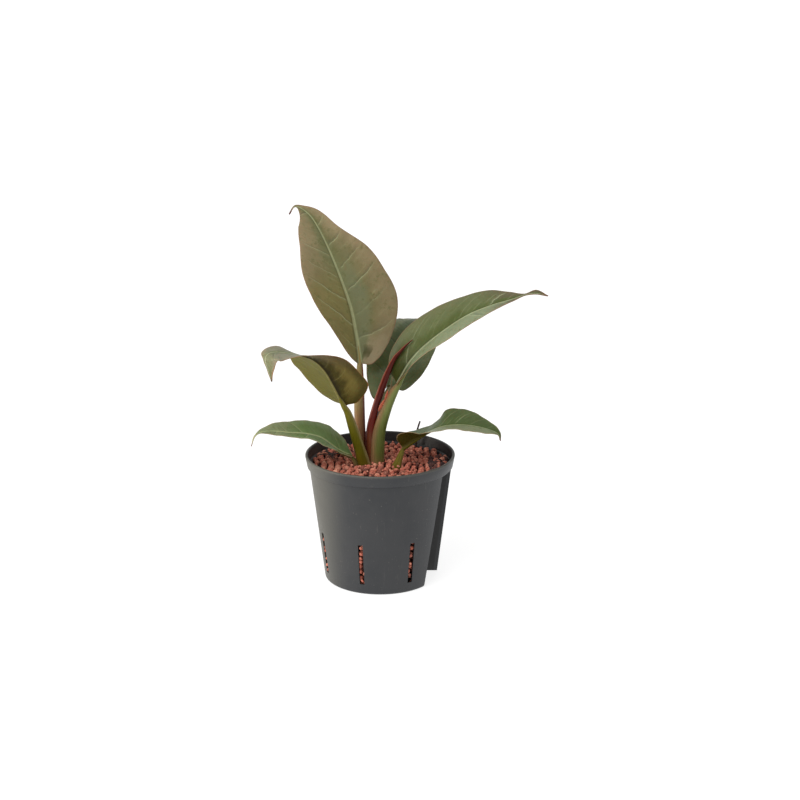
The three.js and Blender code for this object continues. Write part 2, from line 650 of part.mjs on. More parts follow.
function crown(margin = 0) {
  const { outline, top, ridges, ridgeDepth, ridgeTop, facets } = CROWN;
  const foot = outline[0][1] - margin;
  const sides = outline.slice(1).map(([radius, z]) => [radius + margin, z + (z > ridgeTop ? margin : 0)]);
  const geometry = turned([[0, foot], [outline[0][0] + margin, foot], ...sides, [0, top + margin]], facets);
  const places = geometry.getAttribute("position");
  for (let i = 0; margin === 0 && i < places.count; i += 1) {
    const [x, y] = [places.getX(i), places.getY(i)];
    const ridge = 1 - ridgeDepth * (1 + Math.cos(ridges * Math.atan2(y, x)));
    const shrink = places.getZ(i) < ridgeTop ? ridge : 1;
    places.setXY(i, x * shrink, y * shrink);
  }
  return solid(geometry.translate(CROWN.x, CROWN.y, 0));
}

// The dry root strands

function buildStrands(margin = 0) {
  const [kx, ky, kz] = STRANDS.knot;
  const knot = new THREE.IcosahedronGeometry(STRANDS.knotRadius + margin, 0).translate(kx, ky, kz);
  let strands = solid(knot);
  for (const [heading, reach, bow, hump] of STRANDS.runs) {
    const line = [-1, -0.6, 0, 0.6, 1].map((t) => {
      const [dx, dy] = polar(1, heading);
      const aside = bow * t * t;
      return [kx + dx * reach * t - dy * aside, ky + dy * reach * t + dx * aside,
        kz + 3 * hump * (t * t - t ** 4) - STRANDS.dip * t * t, STRANDS.radius];
    });
    strands = strands.add(stalk({ line, flat: 0, ringsPerSpan: 2 }, margin, STRANDS.sides));
  }
  return strands;
}

// Assembly

const TRIM_BLOCK = 16;

/** A block that starts a gap short of a blade's base and reaches on past it, to trim its stalk. */
function trimBlock(blade) {
  const { base, normal, side } = blade.frame(0);
  const along = normal.clone().cross(side);
  const place = new THREE.Matrix4().makeBasis(side, normal, along);
  place.setPosition(base.addScaledVector(along, TRIM_BLOCK / 2 - GAP));
  return solid(new THREE.BoxGeometry(TRIM_BLOCK, TRIM_BLOCK, TRIM_BLOCK).applyMatrix4(place));
}

const blades = Object.fromEntries(Object.entries(LEAVES).map(([name, spec]) => [name, new Blade(spec)]));
const stems = {};
for (const [name, spec] of Object.entries(STALKS)) {
  let body = stalk(spec);
  if (spec.blade) body = body.subtract(trimBlock(blades[spec.blade]));
  for (const other of spec.beside) body = body.subtract(stalk(STALKS[other], GAP));
  stems[name] = largest(body.subtract(crown(GAP)));
}

const PLUG_PLAY = 0.4; // further room round the rooted plug, past the gap
const holes = [crown(GAP + PLUG_PLAY), buildStrands(GAP)];
for (const spec of Object.values(STALKS)) holes.push(stalk(spec, GAP));

const plant = new THREE.Group();
for (const [name, spec] of Object.entries(LEAVES)) {
  plant.add(mesh(name, solid(blades[name].geometry()), spec.colour, 0.4));
}
for (const [name, spec] of Object.entries(STALKS)) {
  plant.add(mesh(name, stems[name], spec.colour, 0.5));
}
plant.add(mesh("crown", crown(), COLOURS.crown, 0.8));
plant.add(mesh("dry_roots", buildStrands(), COLOURS.dry, 0.9));

const philodendron = new THREE.Group();
philodendron.add(mesh("pot", buildPot(), COLOURS.pot, 0.5));
philodendron.add(mesh("clay_granules", buildGranules(holes), COLOURS.clay, 0.95));
philodendron.add(plant);

export default philodendron;
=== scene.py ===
"""The looks of a young imperial red philodendron in a slotted grey pot of clay granules.

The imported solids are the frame. Blades, stalks, pot and granules are rebuilt here as finer meshes in the
same places, from the same driving sizes in millimetres, and get procedural finishes.
"""

from __future__ import annotations

import logging
import math
from collections.abc import Callable, Sequence
from dataclasses import dataclass, field
from enum import Enum
from typing import ClassVar

import bpy
import numpy as np
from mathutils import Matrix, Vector

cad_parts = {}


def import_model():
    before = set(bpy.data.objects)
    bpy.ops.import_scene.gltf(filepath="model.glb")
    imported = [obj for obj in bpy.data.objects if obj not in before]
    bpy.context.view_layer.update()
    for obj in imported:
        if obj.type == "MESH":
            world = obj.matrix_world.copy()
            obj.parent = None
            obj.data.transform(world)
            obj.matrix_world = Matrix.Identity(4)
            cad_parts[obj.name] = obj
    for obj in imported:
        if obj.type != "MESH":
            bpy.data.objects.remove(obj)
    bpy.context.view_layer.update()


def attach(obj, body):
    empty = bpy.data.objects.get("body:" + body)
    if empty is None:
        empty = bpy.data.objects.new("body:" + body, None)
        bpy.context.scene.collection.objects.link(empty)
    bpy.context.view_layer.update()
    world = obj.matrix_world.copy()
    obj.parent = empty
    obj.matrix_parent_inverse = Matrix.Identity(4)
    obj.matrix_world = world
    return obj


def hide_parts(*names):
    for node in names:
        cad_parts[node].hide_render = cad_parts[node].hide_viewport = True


LOG = logging.getLogger("philodendron")

MM = 0.001  # metres in a millimetre
BODY = "root"

Point = tuple[float, float, float]
Pair = tuple[float, float]
Colour = tuple[int, int, int]  # as displayed, each from 0 to 255
Station = tuple[float, float, float, float]  # a point of a line, with its radius or half width

LIGHT = 1.15  # how bright the studio shows a matt white surface
SHEEN = 0.008  # what the soft light's reflection adds to a surface
LEAST = 0.004  # the darkest that a colour gets
DARK_END = 0.04045  # the display share up to which the display's curve is a line


def paint(colour: Colour) -> tuple[float, ...]:
    """The base colour, in linear numbers with alpha, that the studio light shows as a display colour."""
    shares = [value / 255 for value in colour]
    linear = [share / 12.92 if share <= DARK_END else ((share + 0.055) / 1.055) ** 2.4 for share in shares]
    return (*(max((value - SHEEN) / LIGHT, LEAST) for value in linear), 1.0)


def unit(vectors: np.ndarray) -> np.ndarray:
    """Vectors of length one along the last axis."""
    return vectors / np.maximum(np.linalg.norm(vectors, axis=-1, keepdims=True), 1e-12)


def step(values: np.ndarray | float, low: float, high: float) -> np.ndarray:
    """A smooth rise from 0 at low to 1 at high."""
    share = np.clip((np.asarray(values, float) - low) / (high - low), 0, 1)
    return share * share * (3 - 2 * share)


def polar(radius: np.ndarray | float, degrees: np.ndarray | float) -> tuple[np.ndarray, np.ndarray]:
    """The x and y of a radius and an azimuth in degrees from +X towards +Y."""
    angle = np.radians(degrees)
    return radius * np.cos(angle), radius * np.sin(angle)


# Expressions on node sockets


def operator(operation: str) -> Callable[..., Value]:
    """A method of Value that adds a Math node with an operation."""

    def method(self: Value, *others: Value | float) -> Value:
        """The result of a Math node on this value and others."""
        inputs = dict(enumerate((self, *others)))
        return self.graph.node("ShaderNodeMath", {"operation": operation}, inputs)

    return method


class Value:
    """A node's output socket; arithmetic on it adds Math nodes to its graph."""

    def __init__(self, graph: Graph, socket: bpy.types.NodeSocket) -> None:
        self.graph = graph
        self.socket = socket

    __add__ = __radd__ = operator("ADD")
    __mul__ = __rmul__ = operator("MULTIPLY")
    __sub__ = operator("SUBTRACT")
    __pow__ = operator("POWER")
    __abs__ = operator("ABSOLUTE")
    cosine = operator("COSINE")
    fraction = operator("FRACT")

    def __rsub__(self, other: float) -> Value:
        """The difference from a number."""
        return self * -1 + other

    def step(self, low: float, high: float) -> Value:
        """A smooth rise from 0 at low to 1 at high, or a fall where low is above high."""
        settings = {"interpolation_type": "SMOOTHSTEP"}
        return self.graph.node("ShaderNodeMapRange", settings, {0: self, 1: low, 2: high, 3: 0.0, 4: 1.0})


class Graph:
    """A node tree that is written as expressions."""

    def __init__(self, tree: bpy.types.NodeTree) -> None:
        self.tree = tree

    def node(
        self,
        kind: str,
        settings: dict[str, object] | None = None,
        inputs: dict[int | str, object] | None = None,
        output: int | str = 0,
    ) -> Value:
        """Adds a node.

        Args:
            kind: The node's type.
            settings: Its properties, set before its sockets.
            inputs: Values or links of its sockets, by name or number.
            output: The name or number of the output that is wanted.

        Returns:
            That output, as a value.
        """
        made = self.tree.nodes.new(kind)
        for name, setting in (settings or {}).items():
            setattr(made, name, setting)
        for name, value in (inputs or {}).items():
            self.feed(made.inputs[name], value)
        return Value(self, made.outputs[output])

    def feed(self, socket: bpy.types.NodeSocket, value: object) -> None:
        """Links a value to a socket, or sets the socket's own value, where three numbers are a Colour."""
        if isinstance(value, Value):
            self.tree.links.new(value.socket, socket)
        else:
            shown = socket.type == "RGBA" and len(value) == 3
            socket.default_value = paint(value) if shown else value


class Shade(Graph):
    """A material with one Principled surface."""

    def __init__(self, name: str) -> None:
        self.material = bpy.data.materials.new(name)
        self.material.use_nodes = True
        super().__init__(self.material.node_tree)
        self.tree.nodes.clear()
        self.surface = self.tree.nodes.new("ShaderNodeBsdfPrincipled")
        end = self.tree.nodes.new("ShaderNodeOutputMaterial")
        self.tree.links.new(self.surface.outputs[0], end.inputs[0])

    def place(self) -> Value:
        """The Object coordinates."""
        return self.node("ShaderNodeTexCoord", output="Object")

    def axis(self, name: str) -> Value:
        """One of the Object coordinates, in millimetres."""
        return self.node("ShaderNodeSeparateXYZ", inputs={0: self.place()}, output=name) * (1 / MM)

    def stretched(self, scale: Point) -> Value:
        """The Object coordinates, scaled along each axis."""
        return self.node("ShaderNodeMapping", inputs={"Vector": self.place(), "Scale": scale})

    def attribute(self, name: str) -> Value:
        """A number that the mesh holds."""
        return self.node("ShaderNodeAttribute", {"attribute_name": name}, output="Fac")

    def noise(self, place: Value, scale: float, detail: float = 2.0, roughness: float = 0.5) -> Value:
        """Soft noise from 0 to 1 with the given number of waves in a metre."""
        inputs = {"Vector": place, "Scale": scale, "Detail": detail, "Roughness": roughness}
        return self.node("ShaderNodeTexNoise", inputs=inputs)

    def mix(self, low: Value | Colour, high: Value | Colour, share: Value | float) -> Value:
        """A colour between two."""
        return self.node("ShaderNodeMix", {"data_type": "RGBA"}, {0: share, 6: low, 7: high}, 2)

    def tint(self, colour: Value | Colour, share: Value | float) -> Value:
        """A colour scaled by a number."""
        grey = self.node("ShaderNodeCombineColor", inputs={0: share, 1: share, 2: share})
        settings = {"data_type": "RGBA", "blend_type": "MULTIPLY"}
        return self.node("ShaderNodeMix", settings, {0: 1.0, 6: colour, 7: grey}, 2)

    def bump(self, height: Value, depth: float) -> None:
        """Raises the surface by a height times a depth in metres."""
        inputs = {"Height": height, "Distance": depth, "Strength": 1.0}
        self.dress({"Normal": self.node("ShaderNodeBump", inputs=inputs)})

    def dress(self, inputs: dict[str, object]) -> None:
        """Sets or links sockets of the Principled surface."""
        for name, value in inputs.items():
            self.feed(self.surface.inputs[name], value)


# Meshes


def link(name: str, data: bpy.types.ID) -> bpy.types.Object:
    """Adds an object with the given data to the scene."""
    made = bpy.data.objects.new(name, data)
    bpy.context.scene.collection.objects.link(made)
    return made


def helper(
    name: str,
    places: Sequence[Point] | np.ndarray,
    faces: Sequence[Sequence[int]] | np.ndarray,
    edges: Sequence[tuple[int, int]] = (),
) -> bpy.types.Object:
    """A mesh object, from places in millimetres, that shapes another piece or carries what repeats."""
    mesh = bpy.data.meshes.new(name)
    corners = (np.asarray(places, float).reshape(-1, 3) * MM).tolist()
    mesh.from_pydata(corners, edges, [list(map(int, face)) for face in faces])
    return link(name, mesh)


def store(mesh: bpy.types.Mesh, name: str, values: np.ndarray) -> None:
    """Gives a mesh a number for each corner."""
    layer = mesh.attributes.new(name, "FLOAT", "POINT")
    layer.data.foreach_set("value", np.asarray(values, np.float32).ravel())


def smooth(mesh: bpy.types.Mesh) -> None:
    """Shades all faces of a mesh smooth."""
    mesh.polygons.foreach_set("use_smooth", [True] * len(mesh.polygons))


def add_piece(
    name: str,
    places: np.ndarray,
    faces: Sequence[Sequence[int]] | np.ndarray,
    material: bpy.types.Material,
    numbers: dict[str, np.ndarray] | None = None,
) -> bpy.types.Object:
    """Makes a smooth mesh object at the origin.

    Args:
        name: The piece's name.
        places: Its corners in millimetres.
        faces: The corners of each face.
        material: Its finish.
        numbers: A number for each corner, by attribute name.

    Returns:
        The object, linked to the scene.
    """
    piece = helper(name, places, faces)
    for key, values in (numbers or {}).items():
        store(piece.data, key, values)
    smooth(piece.data)
    piece.data.materials.append(material)
    piece.data.update()
    return piece


def grid_faces(rows: int, columns: int, closed: bool = False) -> np.ndarray:
    """The quads of a grid of corners that is stored row by row, whose rows may close on themselves."""
    across = columns if closed else columns - 1
    row, column = np.meshgrid(np.arange(rows - 1), np.arange(across), indexing="ij")
    after = (column + 1) % columns
    here, above = row * columns, (row + 1) * columns
    return np.stack([here + column, here + after, above + after, above + column], -1).reshape(-1, 4)


def grid_rim(rows: int, columns: int) -> np.ndarray:
    """The corners round a grid that is stored row by row."""
    index = np.arange(rows * columns).reshape(rows, columns)
    return np.r_[index[0, :-1], index[:-1, -1], index[-1, :0:-1], index[:0:-1, 0]]


def box_faces(first: int = 0) -> list[list[int]]:
    """The faces of a box whose four low corners, from a first one on, come before its four high ones."""
    sides = [[i, (i + 1) % 4, 4 + (i + 1) % 4, 4 + i] for i in range(4)]
    return [[first + k for k in face] for face in ([3, 2, 1, 0], [4, 5, 6, 7], *sides)]


def lathe_faces(rings: int, sides: int) -> list[list[int]]:
    """The faces of stacked closed rings, whose foot and top points come after all rings."""
    last, foot = (rings - 1) * sides, rings * sides
    ahead = [(j + 1) % sides for j in range(sides)]
    ends = [[foot, ahead[j], j] for j in range(sides)]
    ends += [[foot + 1, last + j, last + ahead[j]] for j in range(sides)]
    return [*grid_faces(rings, sides, closed=True).tolist(), *ends]


def keep(piece: bpy.types.Object, slot: str, *nodes: str) -> bpy.types.Object:
    """Hands a finished piece to the frame.

    Args:
        piece: The piece.
        slot: The record's material slot; not used.
        nodes: The solids that the piece stands for.

    Returns:
        The piece.
    """
    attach(piece, BODY)
    if nodes:
        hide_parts(*nodes)
    LOG.info("%s: %d faces, stands for %s", piece.name, len(piece.data.polygons), nodes or "nothing")
    return piece


class Join(Enum):
    """How one solid is combined with another."""

    ADD = "UNION"
    CUT = "DIFFERENCE"
    SHARE = "INTERSECT"


def settle(piece: bpy.types.Object) -> bpy.types.Object:
    """Turns a piece's modifiers into its mesh."""
    graph = bpy.context.evaluated_depsgraph_get()
    mesh = bpy.data.meshes.new_from_object(piece.evaluated_get(graph))
    piece.modifiers.clear()
    old, piece.data = piece.data, mesh
    mesh.name = piece.name
    bpy.data.meshes.remove(old)
    return piece


def combine(piece: bpy.types.Object, join: Join, other: bpy.types.Object) -> None:
    """Adds another solid to a piece or cuts it away, and deletes the other."""
    modifier = piece.modifiers.new(join.name, "BOOLEAN")
    modifier.operation = join.value
    modifier.object = other
    modifier.solver = "EXACT"
    settle(piece)
    bpy.data.objects.remove(other)


class Track:
    """A smooth curve through rows of numbers, with the slope at each taken from its neighbours."""

    def __init__(self, rows: np.ndarray, knots: np.ndarray | None = None) -> None:
        self.rows = np.asarray(rows, float)
        self.knots = np.arange(len(self.rows)) if knots is None else knots
        low = np.maximum(np.arange(len(self.rows)) - 1, 0)
        high = np.minimum(np.arange(len(self.rows)) + 1, len(self.rows) - 1)
        self.slopes = (self.rows[high] - self.rows[low]) / (self.knots[high] - self.knots[low])[:, None]

    def at(self, where: np.ndarray) -> np.ndarray:
        """The numbers at knot values, along a new last axis."""
        where = np.asarray(where, float)
        i = np.clip(np.searchsorted(self.knots, where, side="right") - 1, 0, len(self.knots) - 2)
        span = (self.knots[i + 1] - self.knots[i])[..., None]
        s = (where - self.knots[i])[..., None] / span
        s2, s3 = s * s, s**3
        start = (2 * s3 - 3 * s2 + 1) * self.rows[i] + (s3 - 2 * s2 + s) * span * self.slopes[i]
        return start + (3 * s2 - 2 * s3) * self.rows[i + 1] + (s3 - s2) * span * self.slopes[i + 1]


# Leaf finishes


class Face(Enum):
    """The two faces of a blade."""

    UPPER = "upper"
    UNDER = "under"


class Half(Enum):
    """The halves of a blade, with the sign of their mesh attribute."""

    LEFT = -1
    BOTH = 0
    RIGHT = 1


@dataclass(frozen=True)
class Zone:
    """A soft stretch of a blade that gets another colour; the zones marked at each leaf paint sheen and
    highlights.

    Along runs from 0 at the base to 1 at the tip, and across from 0 at the midrib to 1 at the margin.
    """

    colour: Colour
    along: Pair = (-1.0, 2.0)
    across: Pair = (-1.0, 2.0)
    half: Half = Half.BOTH
    face: Face = Face.UPPER
    share: float = 1.0
    soft: float = 0.1


@dataclass(frozen=True)
class LeafFinish:
    """The colours of one leaf, and how strongly its veins and flecks show."""

    CLOUD: ClassVar[float] = 50.0  # waves in a metre of its three noises
    PATCH: ClassVar[float] = 170.0
    GRAIN: ClassVar[float] = 900.0
    VEIN: ClassVar[Pair] = (0.034, 0.006)  # where a side vein ends and is full, in spacings from its middle
    HALO: ClassVar[Pair] = (0.15, 0.02)
    FINE: ClassVar[Pair] = (0.22, 0.04)
    RIB: ClassVar[Pair] = (1.3, 0.3)  # the same for the midrib, in its half widths
    UNDER_RIB: ClassVar[Pair] = (1.0, 0.5)
    HALO_SHARE: ClassVar[float] = 0.25
    FINE_SHARE: ClassVar[float] = 0.3
    SHADOW: ClassVar[float] = 0.3  # how dark the painted shadow in the strip beside a vein or the midrib gets

    blade: Colour
    middle: Colour
    outer: Colour
    vein: Colour
    edge: Colour
    tip: Colour
    under: Colour
    under_vein: Colour
    fleck: Colour = (74, 80, 42)
    zones: Sequence[Zone] = ()
    vein_share: float = 0.62
    fleck_share: float = 0.6
    rib_share: float = 0.9
    edge_share: float = 0.45
    tip_from: float = 0.95
    roughness: float = 0.45
    gloss: float = 0.18

    def material(self, name: str) -> bpy.types.Material:
        """Builds a leaf's finish: zones from the midrib to the margin, side veins, flecks and a thin edge."""
        shade = Shade(f"leaf_{name}")
        across, rib, edge = (shade.attribute(name) for name in ("across", "rib", "edge"))
        along, under, side = (shade.attribute(name) for name in ("along", "under", "side"))
        phase, luck, out = (shade.attribute(name) for name in ("vein", "luck", "out"))
        place = shade.place()
        cloud = shade.noise(place, self.CLOUD, 3, 0.55)
        patch = shade.noise(place, self.PATCH, 4, 0.6)
        grain = shade.noise(place, self.GRAIN, 3, 0.6)
        strand = shade.node("ShaderNodeCombineXYZ", inputs={0: phase * 3, 1: out * 0.07, 2: side * 9})
        streak = shade.noise(strand, 1.0, 3, 0.6)

        middle = (across + (cloud - 0.5) * 0.8).step(0.5, 0.05)
        outer = (across + (cloud - 0.5) * 0.6).step(0.5, 0.95)
        faces = {
            Face.UPPER: shade.mix(shade.mix(self.blade, self.middle, middle), self.outer, outer),
            Face.UNDER: self.under,
        }
        for zone in self.zones:
            share = self.reach(along + (cloud - 0.5) * 0.16, zone.along, zone.soft) * zone.share
            share = share * self.reach(across + (streak - 0.5) * 0.3, zone.across, zone.soft)
            if zone.half is not Half.BOTH:
                share = share * (side * zone.half.value).step(-0.1, 0.1)
            faces[zone.face] = shade.mix(faces[zone.face], zone.colour, share)

        waver = phase + (patch - 0.5) * 0.14 + (cloud - 0.5) * 0.3
        signed = (waver + 0.5).fraction() - 0.5
        spread = abs(signed)
        fade = across.step(1.0, 0.6) * across.step(0.02, 0.14)
        main = spread.step(*self.VEIN) * luck * fade * (patch * 1.5)
        halo = spread.step(*self.HALO) * luck * fade * self.HALO_SHARE
        fine = abs((waver * 4 + 0.5).fraction() - 0.5).step(*self.FINE)
        veins = (main + halo + fine * streak.step(0.5, 0.75) * self.FINE_SHARE) * self.vein_share
        # painted shadow beside each side vein, and beside the midrib on the left half
        shadow = signed.step(0.01, 0.04) * signed.step(0.15, 0.06) * luck * fade
        crease = rib.step(0.9, 1.2) * rib.step(2.4, 1.4) * side.step(0.1, -0.1)
        flecks = shade.noise(place, self.PATCH, 5, 0.72).step(0.48, 0.68) * streak.step(0.36, 0.58)
        upper = shade.mix(faces[Face.UPPER], self.fleck, flecks * self.fleck_share)
        upper = shade.tint(upper, 1 - (shadow * self.SHADOW + crease * self.SHADOW))
        upper = shade.mix(upper, self.vein, veins)
        lower = shade.mix(faces[Face.UNDER], self.under_vein, veins * 0.55)
        upper = shade.mix(upper, self.vein, rib.step(*self.RIB) * self.rib_share)
        lower = shade.mix(lower, self.under_vein, rib.step(*self.UNDER_RIB) * 0.8)

        body = shade.mix(upper, lower, under)
        body = shade.mix(body, self.edge, edge.step(0.8, 0.1) * patch * self.edge_share * 2)
        body = shade.mix(body, self.tip, (along + (patch - 0.5) * 0.04).step(self.tip_from, 1.0))
        body = shade.tint(body, 0.52 + patch * 0.36 + streak * 0.36 + cloud * 0.24)

        shade.dress({
            "Base Color": body,
            "Roughness": self.roughness + (patch - 0.5) * 0.25 + under * 0.1,
            "Specular IOR Level": 0.12,
            "Coat Weight": (1 - under) * self.gloss,
            "Coat Roughness": 0.32,
            "Subsurface Weight": 0.06,
            "Subsurface Scale": 0.002,
        })
        shade.bump(grain * 0.25 + patch * 0.8 + streak * 0.8 - main * 0.4, 0.0005)
        return shade.material

    @staticmethod
    def reach(value: Value, span: Pair, soft: float) -> Value:
        """How far a value lies within a span with soft ends."""
        return value.step(span[0] - soft, span[0] + soft) * value.step(span[1] + soft, span[1] - soft)


@dataclass(frozen=True)
class StalkFinish:
    """The colours of a stalk from its foot to its top, with a streak of another colour on one side, which on
    the new leaf turns to a painted highlight above its top height.
    """

    FOOT_BLEND: ClassVar[Pair] = (-12.0, 8.0)  # about the foot height
    TOP_BLEND: ClassVar[Pair] = (-14.0, 10.0)  # about the top height
    RAGGED: ClassVar[float] = 14.0  # how far the blends waver

    name: str
    foot: Colour
    body: Colour
    top: Colour
    streak: Colour
    streak_turn: float = 0.0  # degrees about the stalk from +X
    streak_width: float = 60.0
    high_streak_highlight: Colour | None = None  # its colour above the top height, where it differs: on the new leaf a painted highlight
    foot_height: float = 118.0
    top_height: float = 150.0
    roughness: float = 0.38

    def material(self) -> bpy.types.Material:
        """Builds the finish: blended zones, long fine streaks and small pale flecks."""
        shade = Shade(f"stalk_{self.name}")
        height = shade.axis("Z")
        streaks = shade.noise(shade.stretched((1.0, 1.0, 0.06)), 700, 3, 0.6)
        cloud = shade.noise(shade.place(), 110, 3, 0.6)
        fleck = shade.noise(shade.place(), 900, 1, 0.4).step(0.72, 0.8)
        turn = shade.attribute("turn")
        facing = (turn - math.radians(self.streak_turn)).cosine()
        band = facing.step(math.cos(math.radians(self.streak_width)), 1.0)

        ragged = height + (cloud - 0.5) * self.RAGGED
        over_foot = ragged.step(*(self.foot_height + way for way in self.FOOT_BLEND))
        high = ragged.step(*(self.top_height + way for way in self.TOP_BLEND))
        body = shade.mix(shade.mix(self.foot, self.body, over_foot), self.top, high)
        # above the top height the streak takes the painted highlight, where one is given
        streak = shade.mix(self.streak, self.high_streak_highlight or self.streak, high)
        body = shade.mix(body, streak, band * (0.4 + streaks * 0.9))
        body = shade.tint(body, 0.7 + streaks * 0.6)
        body = shade.mix(body, streak, fleck * 0.35)
        shade.dress({
            "Base Color": body,
            "Roughness": self.roughness + (cloud - 0.5) * 0.15,
            "Specular IOR Level": 0.12,
            "Coat Weight": 0.07,
            "Coat Roughness": 0.25,
        })
        shade.bump(streaks, 0.0003)
        return shade.material


@dataclass(frozen=True)
class GrainFinish:
    """A dull finish of two colours in grains, or in fibres along Z."""

    name: str
    dark: Colour
    body: Colour
    waves: float  # in a metre
    detail: float
    ragged: float
    fibre: float = 1.0  # the scale along Z
    span: Pair | None = None  # the noise values between which the dark turns to the body colour
    roughness: float = 0.8
    depth: float = 0.0  # of the bump, in metres

    def material(self) -> bpy.types.Material:
        """Builds the finish."""
        shade = Shade(self.name)
        place = shade.place() if self.fibre == 1.0 else shade.stretched((1.0, 1.0, self.fibre))
        grain = shade.noise(place, self.waves, self.detail, self.ragged)
        share = grain.step(*self.span) if self.span else grain
        shade.dress({"Base Color": shade.mix(self.dark, self.body, share), "Roughness": self.roughness})
        if self.depth:
            shade.bump(grain, self.depth)
        return shade.material


BARK = GrainFinish("stem_skin", (45, 26, 18), (110, 78, 62), 420, 4, 0.65, 0.15, (0.35, 0.62), depth=0.0008)
DRY = GrainFinish("dry_root", (34, 20, 16), (70, 48, 38), 900, 3, 0.6, roughness=0.85, depth=0.0004)
MOSS = GrainFinish("moss", (24, 32, 20), (52, 66, 40), 1200, 2, 0.6, span=(0.3, 0.7), roughness=0.9)


# Leaves

Row = tuple[Point, Point, Point, Point]


class BladeShape:
    """The upper face of a leaf blade.

    Each row holds the midrib's point and normal, and then the sweep, width and fold of each half.
    """

    ARC_STEPS = 12
    SAMPLES = 400
    NORMAL_STEPS = (0.004, 0.03)  # along and across
    SWEEP_POWER = 1.4
    LEAST_WIDTH = 0.3

    def __init__(self, rows: Sequence[Row], curl: Pair) -> None:
        flat = np.array([[number for part in row for number in part] for row in rows])
        chord = np.r_[0, np.cumsum(np.linalg.norm(np.diff(flat[:, :3], axis=0), axis=1))]
        self.track = Track(flat, chord / chord[-1])
        self.curl = np.radians(curl)
        self.times = np.linspace(0, 1, self.SAMPLES + 1)
        points = self.track.at(self.times)[:, :3]
        self.arc = np.r_[0, np.cumsum(np.linalg.norm(np.diff(points, axis=0), axis=1))]
        self.length = float(self.arc[-1])

    def station(self, s: np.ndarray) -> np.ndarray:
        """The row's numbers at running lengths along the midrib."""
        return self.track.at(np.interp(np.clip(s, 0, self.length), self.arc, self.times))

    def frame(self, s: np.ndarray) -> tuple[np.ndarray, np.ndarray, np.ndarray, np.ndarray]:
        """The midrib point, its way along, the upper normal and the right-hand side, also behind the base."""
        ahead = np.maximum(s, 0)
        along = unit(self.station(ahead + 1)[..., :3] - self.station(ahead - 1)[..., :3])
        here = self.station(s)
        normal = here[..., 3:6]
        normal = unit(normal - (normal * along).sum(-1, keepdims=True) * along)
        base = here[..., :3] + along * np.minimum(s, 0)[..., None]
        return base, along, normal, np.cross(along, normal)

    def half(self, u: np.ndarray, v: np.ndarray) -> np.ndarray:
        """Sweep, width and fold at u, for the half that v lies on."""
        here = self.station(u * self.length)
        return np.where((v < 0)[..., None], here[..., 6:9], here[..., 9:12])

    def surface(self, u: np.ndarray, v: np.ndarray) -> np.ndarray:
        """Points of the upper face: u from 0 at the base to 1 at the tip, v from -1 left to 1 right."""
        sweep, width, fold = np.moveaxis(self.half(u, v), -1, 0)
        reach = np.abs(v)
        base, _, normal, side = self.frame(u * self.length - sweep * reach**self.SWEEP_POWER)
        step_width = np.maximum(width, self.LEAST_WIDTH) * reach / self.ARC_STEPS
        curl = np.where(v < 0, self.curl[0], self.curl[1])
        across, up = np.zeros_like(u), np.zeros_like(u)
        for k in range(self.ARC_STEPS):
            angle = np.radians(fold) + curl * reach * (k + 0.5) / self.ARC_STEPS
            across += np.cos(angle) * step_width
            up += np.sin(angle) * step_width
        return base + side * (np.where(v < 0, -1, 1) * across)[..., None] + normal * up[..., None]

    def normals(self, u: np.ndarray, v: np.ndarray) -> np.ndarray:
        """The upper face's normals."""
        du, dv = self.NORMAL_STEPS
        along = self.surface(np.minimum(u + du, 1), v) - self.surface(np.maximum(u - du, 0), v)
        across = self.surface(u, np.minimum(v + dv, 1)) - self.surface(u, np.maximum(v - dv, -1))
        return unit(np.cross(across, along))


